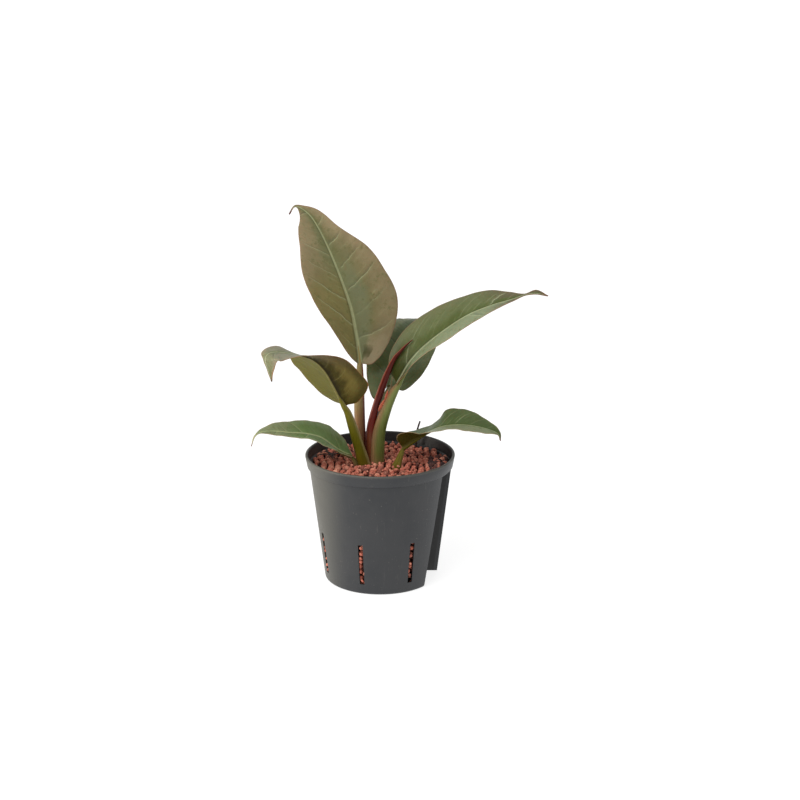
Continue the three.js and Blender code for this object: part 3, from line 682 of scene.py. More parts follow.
@dataclass
class Leaf:
    """A leaf blade with its midrib, side veins, soft waves and rounded margin."""

    MOST_VEINS: ClassVar[int] = 40
    VEINS_BEHIND: ClassVar[int] = 5

    name: str
    slot: str
    rows: Sequence[Row]
    curl: Pair
    finish: LeafFinish
    vein_spacing: float = 17.0  # along the midrib
    vein_lean: Pair = (0.9, 0.9)  # how far side veins run ahead on the left and right, in half widths
    wave: float = 0.3
    wave_count: float = 4.5
    quilt: float = 0.3
    seed: int = 1
    length_steps: int = 150
    half_steps: int = 26
    middle: float = 0.6
    margin: float = 0.4
    rib_depth: float = 2.2
    rib_width: float = 1.5
    rib_half: Pair = (0.4, 1.0)  # the pale midrib's half width at the tip, and what the base adds
    furrow: Pair = (0.35, 1.1)  # the midrib furrow's depth and half width
    tip_crowd: float = 0.35  # how much closer the rows of corners lie towards base and tip
    rib_crowd: float = 1.3  # the power by which its columns crowd at the midrib
    shape: BladeShape = field(init=False)

    def __post_init__(self) -> None:
        """Sets out the blade's form."""
        self.shape = BladeShape(self.rows, self.curl)

    def luck(self, phase: np.ndarray, v: np.ndarray) -> np.ndarray:
        """How strongly the nearest side vein shows, from 0 to 1."""
        chance = np.random.default_rng(self.seed).uniform(0.1, 1.0, (2, self.MOST_VEINS))
        number = np.floor(phase + 0.5).astype(int) + self.VEINS_BEHIND
        return chance[(v < 0).astype(int), np.clip(number, 0, self.MOST_VEINS - 1)]

    def relief(self, u: np.ndarray, v: np.ndarray, phase: np.ndarray, distance: np.ndarray) -> np.ndarray:
        """How far the blade stands up from its form: a midrib furrow, sunken veins and slow waves."""
        reach = np.abs(v)
        deep, wide = self.furrow
        furrow = -deep * np.exp(-((distance / wide) ** 2)) * (1 - u) ** 0.5
        gap = np.abs((phase + 0.5) % 1 - 0.5)
        fade = step(reach, 0.02, 0.15) * step(1 - reach, 0.0, 0.3) * step(1 - u, 0.0, 0.15)
        quilt = self.quilt * self.luck(phase, v) * (np.abs(np.sin(math.pi * gap)) ** 0.6 - 1) * fade
        turn = 2 * math.pi * (self.wave_count * u + np.where(v < 0, 0.31, 0.0) + self.seed)
        slow = np.sin(turn) + 0.5 * np.sin(2.3 * turn + 1 + self.seed)
        wave = self.wave * reach**2 * slow * step(u, 0.0, 0.12) * step(1 - u, 0.0, 0.12)
        return furrow + quilt + wave

    def build(self) -> bpy.types.Object:
        """Makes the blade as one closed mesh with its attributes."""
        even = np.linspace(0, 1, self.length_steps)
        us = even - self.tip_crowd * np.sin(2 * math.pi * even) / (2 * math.pi)
        half = (np.arange(self.half_steps + 1) / self.half_steps) ** self.rib_crowd
        vs = np.r_[-half[:0:-1], half]
        u, v = np.meshgrid(us, vs, indexing="ij")
        width = np.maximum(self.shape.half(u, v)[..., 1], self.shape.LEAST_WIDTH)
        reach = np.abs(v)
        distance = reach * width
        lean = width * np.where(v < 0, *self.vein_lean) * (0.7 * reach + 0.3 * reach**2.2)
        phase = (u * self.shape.length - lean) / self.vein_spacing
        phase = phase + np.where(v < 0, 0.4, 0.0) * step(reach, 0, 0.02)
        normals = self.shape.normals(u, v)
        top = self.shape.surface(u, v) + normals * self.relief(u, v, phase, distance)[..., None]
        rib = self.rib_depth * (1 - u) ** 1.5 * np.exp(-((distance / self.rib_width) ** 2))
        thick = self.middle + (self.margin - self.middle) * reach + rib
        low = top - normals * thick[..., None]

        rows, columns = u.shape
        rim = grid_rim(rows, columns)
        inner_row, inner_column = (np.clip(np.arange(n), 1, n - 2) for n in (rows, columns))
        inward = (inner_row[:, None] * columns + inner_column).ravel()[rim]
        flat_top, flat_low = top.reshape(-1, 3), low.reshape(-1, 3)
        outward = unit(flat_top[rim] - flat_top[inward])
        edge = (flat_top[rim] + flat_low[rim]) / 2 + outward * (self.margin * 0.4)
        count = len(flat_top)
        quads = grid_faces(rows, columns)
        rim_next, ring = np.roll(rim, -1), np.arange(len(rim)) + 2 * count
        ring_next = np.roll(ring, -1)
        faces = np.vstack([
            quads,
            count + quads[:, ::-1],
            np.stack([rim_next, rim, ring, ring_next], -1),
            np.stack([ring_next, ring, count + rim, count + rim_next], -1),
        ])
        rib_half = self.rib_half[0] + self.rib_half[1] * (1 - u) ** 1.3

        def spread(values: np.ndarray) -> np.ndarray:
            """Values of the grid for the upper face, the lower face and the rim."""
            values = np.asarray(values, float).ravel()
            return np.r_[values, values, values[rim]]

        numbers = {
            "along": spread(u),
            "across": spread(reach),
            "side": spread(np.sign(v)),
            "rib": spread(np.minimum(distance / rib_half, 8)),
            "edge": spread(np.minimum((1 - reach) * width, 12)),
            "vein": spread(phase),
            "luck": spread(self.luck(phase, v)),
            "out": spread(distance),
            "under": np.r_[np.zeros(count), np.ones(count), np.full(len(rim), 0.5)],
        }
        places = np.vstack([flat_top, flat_low, edge])
        piece = add_piece(f"{self.name}_blade", places, faces, self.finish.material(self.name), numbers)
        return keep(piece, self.slot, f"leaf_{self.name}")


# Stalks


@dataclass
class Stalk:
    """A fleshy stalk along a centre line, flattened on the side that faces the crown."""

    # How far its line runs on below a midrib, and its share of the radius there
    RUN_ON: ClassVar[Sequence[Pair]] = ((0.0, 0.98), (4.0, 0.8), (9.0, 0.6), (16.0, 0.35))
    SINK: ClassVar[float] = 0.55  # how deep its line lies below the blade, in radii
    CLEAR: ClassVar[float] = 0.45  # and in millimetres more

    name: str
    node: str
    slot: str
    line: Sequence[Station]
    finish: StalkFinish | GrainFinish
    flat: float = 0.2
    leaf: Leaf | None = None
    sides: int = 36
    rings: int = 90
    crown: Pair = (-8.0, 3.0)
    scroll: float = 0.0  # how far a rolled edge steps in, as a share of the radius
    scroll_turns: float = 0.6
    scroll_start: float = 0.2
    ripple: float = 0.03
    tip_out: float = 0.6  # how far its tip stands out, in radii

    def centre_line(self) -> np.ndarray:
        """The centre line's points and radii, which run on below the leaf's midrib where there is one."""
        line = np.array(self.line, float)
        if self.leaf is None:
            return line
        runs, shares = np.array(self.RUN_ON).T
        base, _, normal, _ = self.leaf.shape.frame(runs)
        radii = line[-1, 3] * shares
        sunk = base - normal * (radii * self.SINK + self.CLEAR)[:, None]
        return np.vstack([line[:-1], np.c_[sunk, radii]])

    def build(self) -> bpy.types.Object:
        """Makes the stalk as one closed mesh."""
        line = self.centre_line()
        track = Track(line)
        t = np.linspace(0, len(line) - 1, self.rings)
        here = track.at(t)
        centre, radius = here[:, :3], here[:, 3]
        along = unit(track.at(np.minimum(t + 0.05, t[-1]))[:, :3] - track.at(np.maximum(t - 0.05, 0))[:, :3])
        inward = np.array([self.crown[0] - line[0, 0], self.crown[1] - line[0, 1], 0.0])
        towards = unit(inward - (along @ inward)[:, None] * along)
        side = np.cross(along, towards)
        angle = np.linspace(0, 2 * math.pi, self.sides, endpoint=False)
        share = (t / t[-1])[:, None]
        facing = np.maximum(np.cos(angle), 0)
        depth = np.cos(angle) - self.flat * facing**1.5 - 0.5 * self.flat * facing**8
        swell = 1 + self.ripple * np.sin(3 * angle + 5 * share) * np.sin(9 * share + angle)
        if self.scroll:
            lap = (angle[None, :] / (2 * math.pi) + self.scroll_turns * share + self.scroll_start) % 1
            swell = swell * (1 - self.scroll * lap)
        reach = (radius[:, None] * swell)[..., None]
        places = centre[:, None, :] + reach * (depth[None, :, None] * towards[:, None, :]
                                               + np.sin(angle)[None, :, None] * side[:, None, :])
        outward = places - centre[:, None, :]
        turn = np.arctan2(outward[..., 1], outward[..., 0])
        places = places.reshape(-1, 3)
        tip = centre[-1] + along[-1] * radius[-1] * self.tip_out
        places = np.vstack([places, centre[0], tip])
        faces, numbers = lathe_faces(self.rings, self.sides), {"turn": np.r_[turn.ravel(), 0, 0]}
        piece = add_piece(self.name, places, faces, self.finish.material(), numbers)
        return keep(piece, self.slot, self.node)


@dataclass(frozen=True)
class PaperFinish:
    """Dry orange-red bract with darker fibres."""

    body: Colour = (176, 84, 54)
    fibre: Colour = (110, 40, 28)
    pale: Colour = (206, 130, 100)

    def material(self) -> bpy.types.Material:
        """Builds the finish."""
        shade = Shade("paper_bract")
        fibres = shade.noise(shade.stretched((1.0, 1.0, 0.12)), 1500, 3, 0.7)
        body = shade.mix(self.body, self.fibre, fibres.step(0.5, 0.72))
        body = shade.mix(body, self.pale, abs(shade.attribute("across")).step(0.6, 1.0))
        shade.dress({"Base Color": body, "Roughness": 0.6 + fibres * 0.2})
        shade.bump(fibres, 0.0003)
        return shade.material


@dataclass
class Sheath:
    """The papery slivers of a split bract between the new leaf and the right petiole."""

    # Centre lines, with their half widths
    slivers: Sequence[Sequence[Station]] = (
        ((4.6, -5.1, 162.4, 0.5), (5.3, -5.0, 164.8, 1.1), (6.1, -4.9, 167.6, 1.0), (6.9, -4.8, 171, 0.25)),
        ((-1.2, -5.6, 152.5, 0.3), (0.6, -5.5, 156.2, 1.3), (2.4, -5.3, 159.6, 1.2), (4.4, -5.2, 163.2, 0.3)),
    )
    thickness: float = 0.25
    bulge: float = 0.5
    ragged: float = 0.22
    rows: int = 26
    columns: int = 9

    def sliver(self, line: Sequence[Station], count: int) -> tuple[np.ndarray, np.ndarray, np.ndarray]:
        """The corners, faces and across values of one sliver, whose faces start at a count."""
        track = Track(np.array(line, float))
        t = np.linspace(0, len(line) - 1, self.rows)
        here = track.at(t)
        along = unit(np.gradient(here[:, :3], axis=0))
        facing = np.array([0.0, -1.0, 0.0])
        out = unit(facing - (along @ facing)[:, None] * along)
        side = np.cross(along, out)
        v = np.linspace(-1, 1, self.columns)
        wide = here[:, 3] * (1 + self.ragged * np.sin(7 * t) * np.cos(17 * t))
        front = here[:, None, :3] + side[:, None] * (wide[:, None] * v)[..., None]
        front = front + out[:, None] * (self.bulge * (1 - v**2))[None, :, None]
        back = front - out[:, None] * self.thickness
        total, quads = self.rows * self.columns, grid_faces(self.rows, self.columns)
        rim = grid_rim(self.rows, self.columns)
        ahead = np.roll(rim, -1)
        edge = np.stack([ahead, rim, total + rim, total + ahead], -1)
        faces = np.vstack([quads, total + quads[:, ::-1], edge])
        across = np.tile(v, self.rows)
        return np.vstack([front.reshape(-1, 3), back.reshape(-1, 3)]), faces + count, np.r_[across, across]

    def build(self) -> bpy.types.Object:
        """Makes the slivers as one mesh."""
        places, faces, across = [], [], []
        for line in self.slivers:
            points, quads, values = self.sliver(line, sum(map(len, places)))
            places.append(points)
            faces.extend(quads)
            across.append(values)
        numbers = {"across": np.hstack(across)}
        piece = add_piece("bract_slivers", np.vstack(places), faces, PaperFinish().material(), numbers)
        return keep(piece, "sheath_papery", "sheath")


@dataclass
class StemBase:
    """The short stem and its rooted plug, which the granules hold."""

    outline: Sequence[Pair] = (
        (0, 58), (6, 58), (8.5, 64), (10, 78), (11, 88), (12, 97), (10.6, 101), (7, 103.4), (0, 104),
    )
    place: Pair = (-8.0, 3.0)
    ridges: int = 9
    ridge_depth: float = 0.05
    least_radius: float = 0.3
    sides: int = 72
    rings: int = 60

    def build(self) -> bpy.types.Object:
        """Makes the stem as a ridged lathe form."""
        track = Track(np.array(self.outline, float))
        here = track.at(np.linspace(0, len(self.outline) - 1, self.rings))[1:-1]
        angle = np.linspace(0, 2 * math.pi, self.sides, endpoint=False)
        radius = np.maximum(here[:, 0], self.least_radius)[:, None]
        radius = radius * (1 - self.ridge_depth * (1 + np.cos(self.ridges * angle))[None, :])
        x, y = self.place[0] + radius * np.cos(angle), self.place[1] + radius * np.sin(angle)
        z = np.broadcast_to(here[:, 1:2], x.shape)
        grid = np.stack([x, y, z], -1).reshape(-1, 3)
        places = np.vstack([grid, [*self.place, self.outline[0][1]], [*self.place, self.outline[-1][1]]])
        piece = add_piece("stem_base", places, lathe_faces(len(here), self.sides), BARK.material())
        return keep(piece, "stem_bark", "crown")


# The pot


@dataclass(frozen=True)
class PlasticFinish:
    """Matte dark grey moulded plastic with a fine grain, faint drag lines and a little dust, with painted
    shade inside the wall and painted light on its left side and its lip.
    """

    body: Colour = (51, 52, 54)
    dark: Colour = (43, 45, 48)
    # painted shade: the near-black colour inside the wall's outer surface, on the inner wall, in the recess
    # and on the floor
    inner: Colour = (16, 19, 24)
    # painted light: a pale warm grey on the left side, where the side lamp falls, and on the lip
    painted_light: Colour = (92, 90, 80)
    dust: Colour = (120, 116, 108)
    roughness: float = 0.48
    slope: float = 0.123  # the wall's
    rim_out: float = 1.5
    rim_foot: Pair = (102.0, 104.0)
    skin: Pair = (48.3, 47.5)  # the radii, brought down to the base, between which the painted shade inside the wall begins
    # where the painted highlight on the lip and the painted light on the left side begin and are full, in
    # millimetres
    lit_top: Pair = (110.6, 112.6)
    lit_left: Pair = (-26.0, -62.0)

    def material(self) -> bpy.types.Material:
        """Builds the finish: painted shade inside the wall's outer surface, and painted light on its left
        side and its lip.
        """
        shade = Shade("moulded_plastic")
        place = shade.place()
        grain = shade.noise(place, 2600, 2, 0.5)
        cloud = shade.noise(place, 28, 3, 0.6)
        drag = shade.noise(shade.stretched((1.0, 1.0, 0.05)), 500, 2, 0.6)
        speck = shade.noise(place, 700, 1, 0.3).step(0.74, 0.8)
        body = shade.mix(self.dark, self.body, cloud.step(0.3, 0.6))
        body = shade.mix(body, self.dust, speck * 0.35 + drag.step(0.62, 0.8) * 0.12)
        x, y, z = (shade.axis(axis) for axis in "XYZ")
        depth = (x * x + y * y) ** 0.5 - z * self.slope - z.step(*self.rim_foot) * self.rim_out
        # painted light on the left side of the pot
        body = shade.mix(body, self.painted_light, (x + (cloud - 0.5) * 8).step(*self.lit_left) * 0.9)
        # painted highlight on the lip
        body = shade.mix(body, self.painted_light, z.step(*self.lit_top) * 0.5)
        # painted shade inside the wall's outer surface
        body = shade.mix(body, self.inner, depth.step(*self.skin) * 0.9)
        shade.dress({"Base Color": body, "Roughness": self.roughness + (cloud - 0.5) * 0.2})
        shade.bump(grain * 0.5 + drag * 0.5, 0.00012)
        return shade.material


@dataclass
class Pot:
    """The moulded pot: a tapering shell with a stepped rim, a gauge recess with a rib, and six slots."""

    height: float = 113.0
    base_radius: float = 48.9
    slope: float = 0.123
    wall: float = 1.8
    floor: float = 2.4
    floor_round: float = 2.2
    base_round: float = 2.6
    rim_step: float = 102.5
    step_out: float = 1.8
    rim_radius: float = 65.0
    lip: float = 2.4
    recess: Pair = (-30.0, 9.0)  # where its two sides stand along Y
    recess_depth: float = 12.0
    recess_top: float = 101.0
    roof_top: float = 102.6
    panel_wall: float = 1.6
    reach_out: float = 8.0
    rib_out: float = 2.1
    slot_width: float = 4.3
    slot_span: Pair = (9.5, 47.0)
    slot_reach: Pair = (40.0, 70.0)
    slot_first: float = 31.0
    slot_step: float = 48.8
    slot_count: int = 6
    step_ease: float = 0.4
    facets: int = 180
    soft_edge: float = 0.35
    bevel_from: float = 40.0  # degrees between the faces at an edge
    crease_from: float = 35.0

    def wall_radius(self, z: float | np.ndarray) -> float | np.ndarray:
        """The wall's outer radius at a height."""
        return self.base_radius + self.slope * z

    def slot_azimuths(self) -> list[float]:
        """Where the slots stand, in degrees from +X."""
        return [-90 + self.slot_first - self.slot_step * i for i in range(self.slot_count)]

    @staticmethod
    def corner(x: float, z: float, radius: float, first: float, last: float, steps: int) -> list[Pair]:
        """Points on a round corner of a section, from one angle to another."""
        turns = np.radians(np.linspace(first, last, steps + 1))
        return [(x + radius * math.cos(a), z + radius * math.sin(a)) for a in turns]

    def base_edge(self) -> list[Pair]:
        """The rounded edge of the underside, from the underside up."""
        return self.corner(self.base_radius - self.base_round, self.base_round, self.base_round, -90, 0, 8)

    def profile(self) -> list[Pair]:
        """The shell's section, from the middle of the underside round the rim to the middle of the floor."""
        foot = self.floor + self.floor_round
        inner_foot, inner_step = (self.wall_radius(z) - self.wall for z in (foot, self.rim_step))
        rim_foot, ease = self.wall_radius(self.rim_step) + self.step_out, self.step_ease
        half_lip = self.lip / 2
        return [
            (0, 0),
            *self.base_edge(),
            (self.wall_radius(self.rim_step - 2 * ease), self.rim_step - 2 * ease),
            (rim_foot - ease, self.rim_step),
            (rim_foot, self.rim_step + ease),
            *self.corner(self.rim_radius - half_lip, self.height - half_lip, half_lip, 0, 180, 12),
            (self.wall_radius(self.rim_step), self.rim_step + self.wall),
            (inner_step, self.rim_step),
            *self.corner(inner_foot - self.floor_round, foot, self.floor_round, 0, -90, 6),
            (0, self.floor),
        ]

    def turned(self, section: Sequence[Pair]) -> tuple[np.ndarray, list[list[int]]]:
        """The corners and faces of a section turned about Z, which starts and ends on the axis."""
        angle = np.linspace(0, 2 * math.pi, self.facets, endpoint=False)
        rings = np.array(section[1:-1])
        x, y = rings[:, :1] * np.cos(angle), rings[:, :1] * np.sin(angle)
        grid = np.stack([x, y, np.broadcast_to(rings[:, 1:], x.shape)], -1).reshape(-1, 3)
        places = np.vstack([grid, [0, 0, section[0][1]], [0, 0, section[-1][1]]])
        return places, lathe_faces(len(rings), self.facets)

    def channel(
        self, name: str, heights: Pair, span: Pair, inward: float, outward: float
    ) -> bpy.types.Object:
        """A prism between two places on Y, from behind the recess's back out past the wall."""
        near, far = span
        corners = []
        for z in heights:
            inside, outside = self.wall_radius(z) - self.recess_depth - inward, self.wall_radius(z) + outward
            corners += [(inside, near, z), (outside, near, z), (outside, far, z), (inside, far, z)]
        return helper(name, corners, box_faces())

    def panels(self) -> bpy.types.Object:
        """The recess's side walls, its back and its roof, with the rib along the far side wall."""
        near, far = self.recess
        heights, wall = (0, self.roof_top), self.panel_wall
        panels = self.channel("panels", heights, (near - wall, far + wall), wall, self.reach_out)
        rib = self.channel("rib", heights, (far, far + wall), wall, self.reach_out)
        rib_foot, top = [(self.base_radius + self.rib_out, 0)], self.roof_top
        for piece, foot, out in ((panels, self.base_edge(), 0), (rib, rib_foot, self.rib_out)):
            section = [(0, 0), *foot, (self.wall_radius(top) + out, top), (0, top)]
            combine(piece, Join.SHARE, helper("reach", *self.turned(section)))
        combine(panels, Join.ADD, rib)
        clear = self.channel("recess_clear", (-1, self.recess_top), self.recess, 0, 2 * self.reach_out)
        combine(panels, Join.CUT, clear)
        return panels

    def slot_cutters(self) -> bpy.types.Object:
        """The boxes of all slots, in one mesh."""
        places, faces = [], []
        half, (near, far), (low, high) = self.slot_width / 2, self.slot_reach, self.slot_span
        for azimuth in self.slot_azimuths():
            turn = math.radians(azimuth)
            out, side = (math.cos(turn), math.sin(turn)), (-math.sin(turn), math.cos(turn))
            faces += box_faces(len(places))
            for z in (low, high):
                for reach, across in ((near, -half), (far, -half), (far, half), (near, half)):
                    places.append((out[0] * reach + side[0] * across, out[1] * reach + side[1] * across, z))
        return helper("slot_cutters", places, faces)

    def build(self) -> bpy.types.Object:
        """Makes the pot: the lathe shell, cut and joined with the recess, then its edges softened."""
        pot = add_piece("slotted_pot", *self.turned(self.profile()), PlasticFinish().material())
        combine(pot, Join.CUT, self.channel("recess", (-1, self.recess_top), self.recess, 0, self.reach_out))
        combine(pot, Join.ADD, self.panels())
        combine(pot, Join.CUT, self.slot_cutters())
        bevel = pot.modifiers.new("soft_edges", "BEVEL")
        bevel.width = self.soft_edge * MM
        bevel.segments = 2
        bevel.limit_method = "ANGLE"
        bevel.angle_limit = math.radians(self.bevel_from)
        bevel.use_clamp_overlap = True
        settle(pot)
        pot.data.set_sharp_from_angle(angle=math.radians(self.crease_from))
        return keep(pot, "pot_plastic", "pot")


# What repeats: granules, crumbs and roots


class Recipe(Graph):
    """A Geometry Nodes tree with named inputs."""

    def __init__(self, name: str, numbers: dict[str, float | int]) -> None:
        super().__init__(bpy.data.node_groups.new(name, "GeometryNodeTree"))
        self.numbers = numbers
        face = self.tree.interface
        face.new_socket("Geometry", in_out="INPUT", socket_type="NodeSocketGeometry")
        face.new_socket("Geometry", in_out="OUTPUT", socket_type="NodeSocketGeometry")
        for label, value in numbers.items():
            kind = "NodeSocketInt" if isinstance(value, int) else "NodeSocketFloat"
            face.new_socket(label, in_out="INPUT", socket_type=kind)
        self.entry = self.tree.nodes.new("NodeGroupInput")

    def given(self, label: str) -> Value:
        """One of the tree's inputs."""
        return Value(self, self.entry.outputs[label])

    def end(self, geometry: Value, material: bpy.types.Material) -> None:
        """Makes the geometry real, gives it its finish and ends the tree."""
        real = self.node("GeometryNodeRealizeInstances", inputs={0: geometry})
        dressed = self.node("GeometryNodeSetMaterial", inputs={"Geometry": real, "Material": material})
        self.tree.links.new(dressed.socket, self.tree.nodes.new("NodeGroupOutput").inputs[0])

    def grow(self, piece: bpy.types.Object) -> bpy.types.Object:
        """Runs the tree on a piece and keeps the result as its mesh."""
        modifier = piece.modifiers.new(self.tree.name, "NODES")
        modifier.node_group = self.tree
        for item in self.tree.interface.items_tree:
            if item.in_out == "INPUT" and item.name in self.numbers:
                modifier[item.identifier] = self.numbers[item.name]
        settle(piece)
        smooth(piece.data)
        return piece


@dataclass(frozen=True)
class ClayFinish:
    """Rough brick-red clay with a tone for each granule, a painted highlight on its knobs, painted shade in
    the hollows between them and dark pores; the darkest tones are painted shade.
    """

    body: Colour = (192, 106, 86)
    # painted highlight on the knob tops
    pale: Colour = (255, 194, 162)
    # painted shade: the colour of the darkest tones, which the layers underneath and behind the slots and the
    # core get
    dark: Colour = (50, 24, 20)
    # real pores, and painted shade in the hollows between the knobs
    pore_and_hollow_shade: Colour = (52, 22, 18)

    def material(self) -> bpy.types.Material:
        """Builds the finish."""
        shade = Shade("expanded_clay")
        place = shade.place()
        tone = shade.attribute("tint")
        knobs = shade.noise(place, 520, 3, 0.65)
        pores = shade.noise(place, 1500, 2, 0.5)
        # painted highlight on the knob tops of the lighter granules
        pale = (knobs.step(0.5, 0.72) * 0.7 + tone.step(0.7, 1.0) * 0.3) * tone.step(0.0, 0.3)
        # painted shade: granules of low tone turn dark
        body = shade.mix(shade.mix(self.dark, self.body, tone.step(0.0, 0.4)), self.pale, pale)
        # painted shade in the hollows between the knobs, and the real pores
        body = shade.mix(body, self.pore_and_hollow_shade, knobs.step(0.42, 0.28) * 0.8 + pores.step(0.34, 0.26) * 0.5)
        shade.dress({"Base Color": body, "Roughness": 0.8})
        shade.bump(knobs * 0.7 + pores * 0.3, 0.0012)
        return shade.material


@dataclass(frozen=True)
class Layer:
    """A layer of rough lumps."""

    name: str
    place: float  # how high it lies above the bed, or how deep behind the wall's inner face
    margin: float  # its gap to the wall, or what its strips have beyond each slot's edges
    radius: float  # a lump's middle radius
    spacing: float  # the least distance between two centres
    tones: Pair  # of the darkest and the lightest lump
    seed: int


@dataclass
class Granules:
    """The filling: a core, layers of loose granules on its top and behind the slots, and crumbs; the core and
    the layers underneath and behind are dark as painted shade.
    """

    BED: ClassVar[Sequence[Layer]] = (
        Layer("granules_top", 3.4, 2.3, 2.8, 5.7, (0.1, 1.0), 21),
        # tones near 0: the layer under the top is painted in shade
        Layer("granules_under", -0.6, 2.9, 3.1, 5.0, (0.0, 0.1), 31),
        Layer("crumbs", 5.6, 2.9, 1.2, 6.0, (0.2, 0.9), 41),
    )
    SLOTS: ClassVar[Sequence[Layer]] = (
        Layer("slot_granules", 2.5, 4.0, 2.7, 5.5, (0.1, 0.7), 51),
        Layer("slot_grains", -0.7, -1.6, 1.35, 2.9, (0.1, 0.5), 71),
        # tones near 0: the layer behind the slots is painted in shade
        Layer("slot_granules_behind", 6.0, 4.0, 3.0, 4.8, (0.0, 0.2), 61),
    )
    LEAST_SIZE: ClassVar[Point] = (0.72, 0.72, 0.72)
    MOST_SIZE: ClassVar[Point] = (1.28, 1.2, 1.15)

    pot: Pot
    level: float = 99.4
    reach: float = 66.0
    roof_gap: float = 2.4  # how high centres lie above the recess's roof
    cell: float = 3.0
    core_drop: float = 4.0
    core_gap: float = 6.5
    core_sides: int = 120
    core_rows: int = 24
    core_bump: float = 0.7
    core_foot: float = 0.5  # above the pot's floor
    radius_step: float = 0.25
    knob: float = 0.3  # how far a lump's knobs stand out, as a share of its radius
    knob_waves: float = 420.0  # in a metre
    density: float = 3e5  # the most centres tried in a square metre

    def bed_level(self, x: np.ndarray, y: np.ndarray) -> np.ndarray:
        """The bed's level, a little uneven."""
        return self.level + 0.9 * np.sin(x / 17 + 1) * np.cos(y / 14) + 0.5 * np.sin((x - y) / 9)

    def at_recess(self, x: np.ndarray, y: np.ndarray, z: np.ndarray, gap: float) -> np.ndarray:
        """Whether places lie over the recess in plan, or within a gap of it."""
        pot, reserve = self.pot, self.pot.panel_wall + gap
        inward = x > pot.wall_radius(z) - pot.recess_depth - reserve
        return inward & (y > pot.recess[0] - reserve) & (y < pot.recess[1] + reserve)

    def free(self, x: np.ndarray, y: np.ndarray, z: np.ndarray, gap: float) -> np.ndarray:
        """Whether places keep a gap from the pot's wall and from its recess."""
        inner = self.pot.wall_radius(np.minimum(z, self.pot.rim_step)) - self.pot.wall
        sunk = self.at_recess(x, y, z, gap) & (z < self.pot.roof_top + self.roof_gap - 0.1)
        return (np.hypot(x, y) < inner - gap) & ~sunk

    def sheet(self, layer: Layer) -> bpy.types.Object:
        """A mesh in the shape of the bed's top, lifted, for a layer to be strewn on."""
        gap = layer.margin
        line = np.arange(-self.reach, self.reach + self.cell, self.cell)
        x, y = np.meshgrid(line, line, indexing="ij")
        z = self.bed_level(x, y) + layer.place
        raised = np.maximum(z, self.pot.roof_top + self.roof_gap)
        z = np.where(self.at_recess(x, y, z, gap), raised, z)
        quads = grid_faces(len(line), len(line))
        corners = np.stack([x, y, z], -1).reshape(-1, 3)
        centre = corners[quads].mean(1)
        quads = quads[self.free(*centre.T, gap)]
        return helper(layer.name, corners, quads)

    def strips(self, layer: Layer) -> bpy.types.Object:
        """Upright strips at the slots, for a layer to be strewn on."""
        pot, more = self.pot, layer.margin
        places, faces = [], []
        heights = np.arange(pot.slot_span[0] - more, pot.slot_span[1] + more, self.cell)
        offsets = np.linspace(-1, 1, 4) * (pot.slot_width / 2 + more)
        for azimuth in pot.slot_azimuths():
            z, across = np.meshgrid(heights, offsets, indexing="ij")
            radius = pot.wall_radius(z) - pot.wall - layer.place
            x, y = polar(radius, azimuth + np.degrees(across / radius))
            faces.extend((grid_faces(*z.shape) + sum(map(len, places))).tolist())
            places.append(np.stack([x, y, z], -1).reshape(-1, 3))
        return helper(layer.name, np.vstack(places), faces)

    def strew(self, layer: Layer, sheet: bpy.types.Object, material: bpy.types.Material) -> bpy.types.Object:
        """Strews a layer's lumps.

        Args:
            layer: The layer.
            sheet: The surface that carries their centres, which becomes the piece.
            material: Their finish.

        Returns:
            The piece.
        """
        recipe = Recipe(layer.name, {
            "Spacing": layer.spacing * MM, "Radius": layer.radius * MM,
            "Knob": self.knob * layer.radius * MM, "Density": self.density,
            "Darkest": layer.tones[0], "Lightest": layer.tones[1], "Seed": layer.seed,
        })
        chance, ground = recipe.given("Seed"), recipe.given("Geometry")
        points = recipe.node("GeometryNodeDistributePointsOnFaces", {"distribute_method": "POISSON"}, {
            "Mesh": ground, "Distance Min": recipe.given("Spacing"), "Density Max": recipe.given("Density"),
            "Seed": chance,
        }, "Points")
        lump = recipe.node("GeometryNodeMeshIcoSphere",
                           inputs={"Radius": recipe.given("Radius"), "Subdivisions": 2})
        turn = recipe.node("FunctionNodeRandomValue", {"data_type": "FLOAT_VECTOR"},
                           {0: (0.0, 0.0, 0.0), 1: (math.tau, math.tau, math.tau), "Seed": chance})
        size = recipe.node("FunctionNodeRandomValue", {"data_type": "FLOAT_VECTOR"},
                           {0: self.LEAST_SIZE, 1: self.MOST_SIZE, "Seed": chance + 1})
        lumps = recipe.node("GeometryNodeInstanceOnPoints", inputs={
            "Points": points, "Instance": lump, "Rotation": turn, "Scale": size,
        })
        tone = recipe.node("FunctionNodeRandomValue", {"data_type": "FLOAT"}, {
            2: recipe.given("Darkest"), 3: recipe.given("Lightest"), "Seed": chance + 2,
        }, 1)
        lumps = recipe.node("GeometryNodeStoreNamedAttribute", {"data_type": "FLOAT", "domain": "INSTANCE"},
                            {"Geometry": lumps, "Name": "tint", "Value": tone})
        real = recipe.node("GeometryNodeRealizeInstances", inputs={0: lumps})
        waves = recipe.node("ShaderNodeTexNoise", inputs={
            "Vector": recipe.node("GeometryNodeInputPosition"), "Scale": self.knob_waves, "Detail": 1.0,
        })
        rise = (waves - 0.5) * 2 * recipe.given("Knob")
        lift = recipe.node("ShaderNodeVectorMath", {"operation": "SCALE"}, {
            0: recipe.node("GeometryNodeInputNormal"), "Scale": rise,
        })
        knobbly = recipe.node("GeometryNodeSetPosition", inputs={"Geometry": real, "Offset": lift})
        recipe.end(knobbly, material)
        return recipe.grow(sheet)

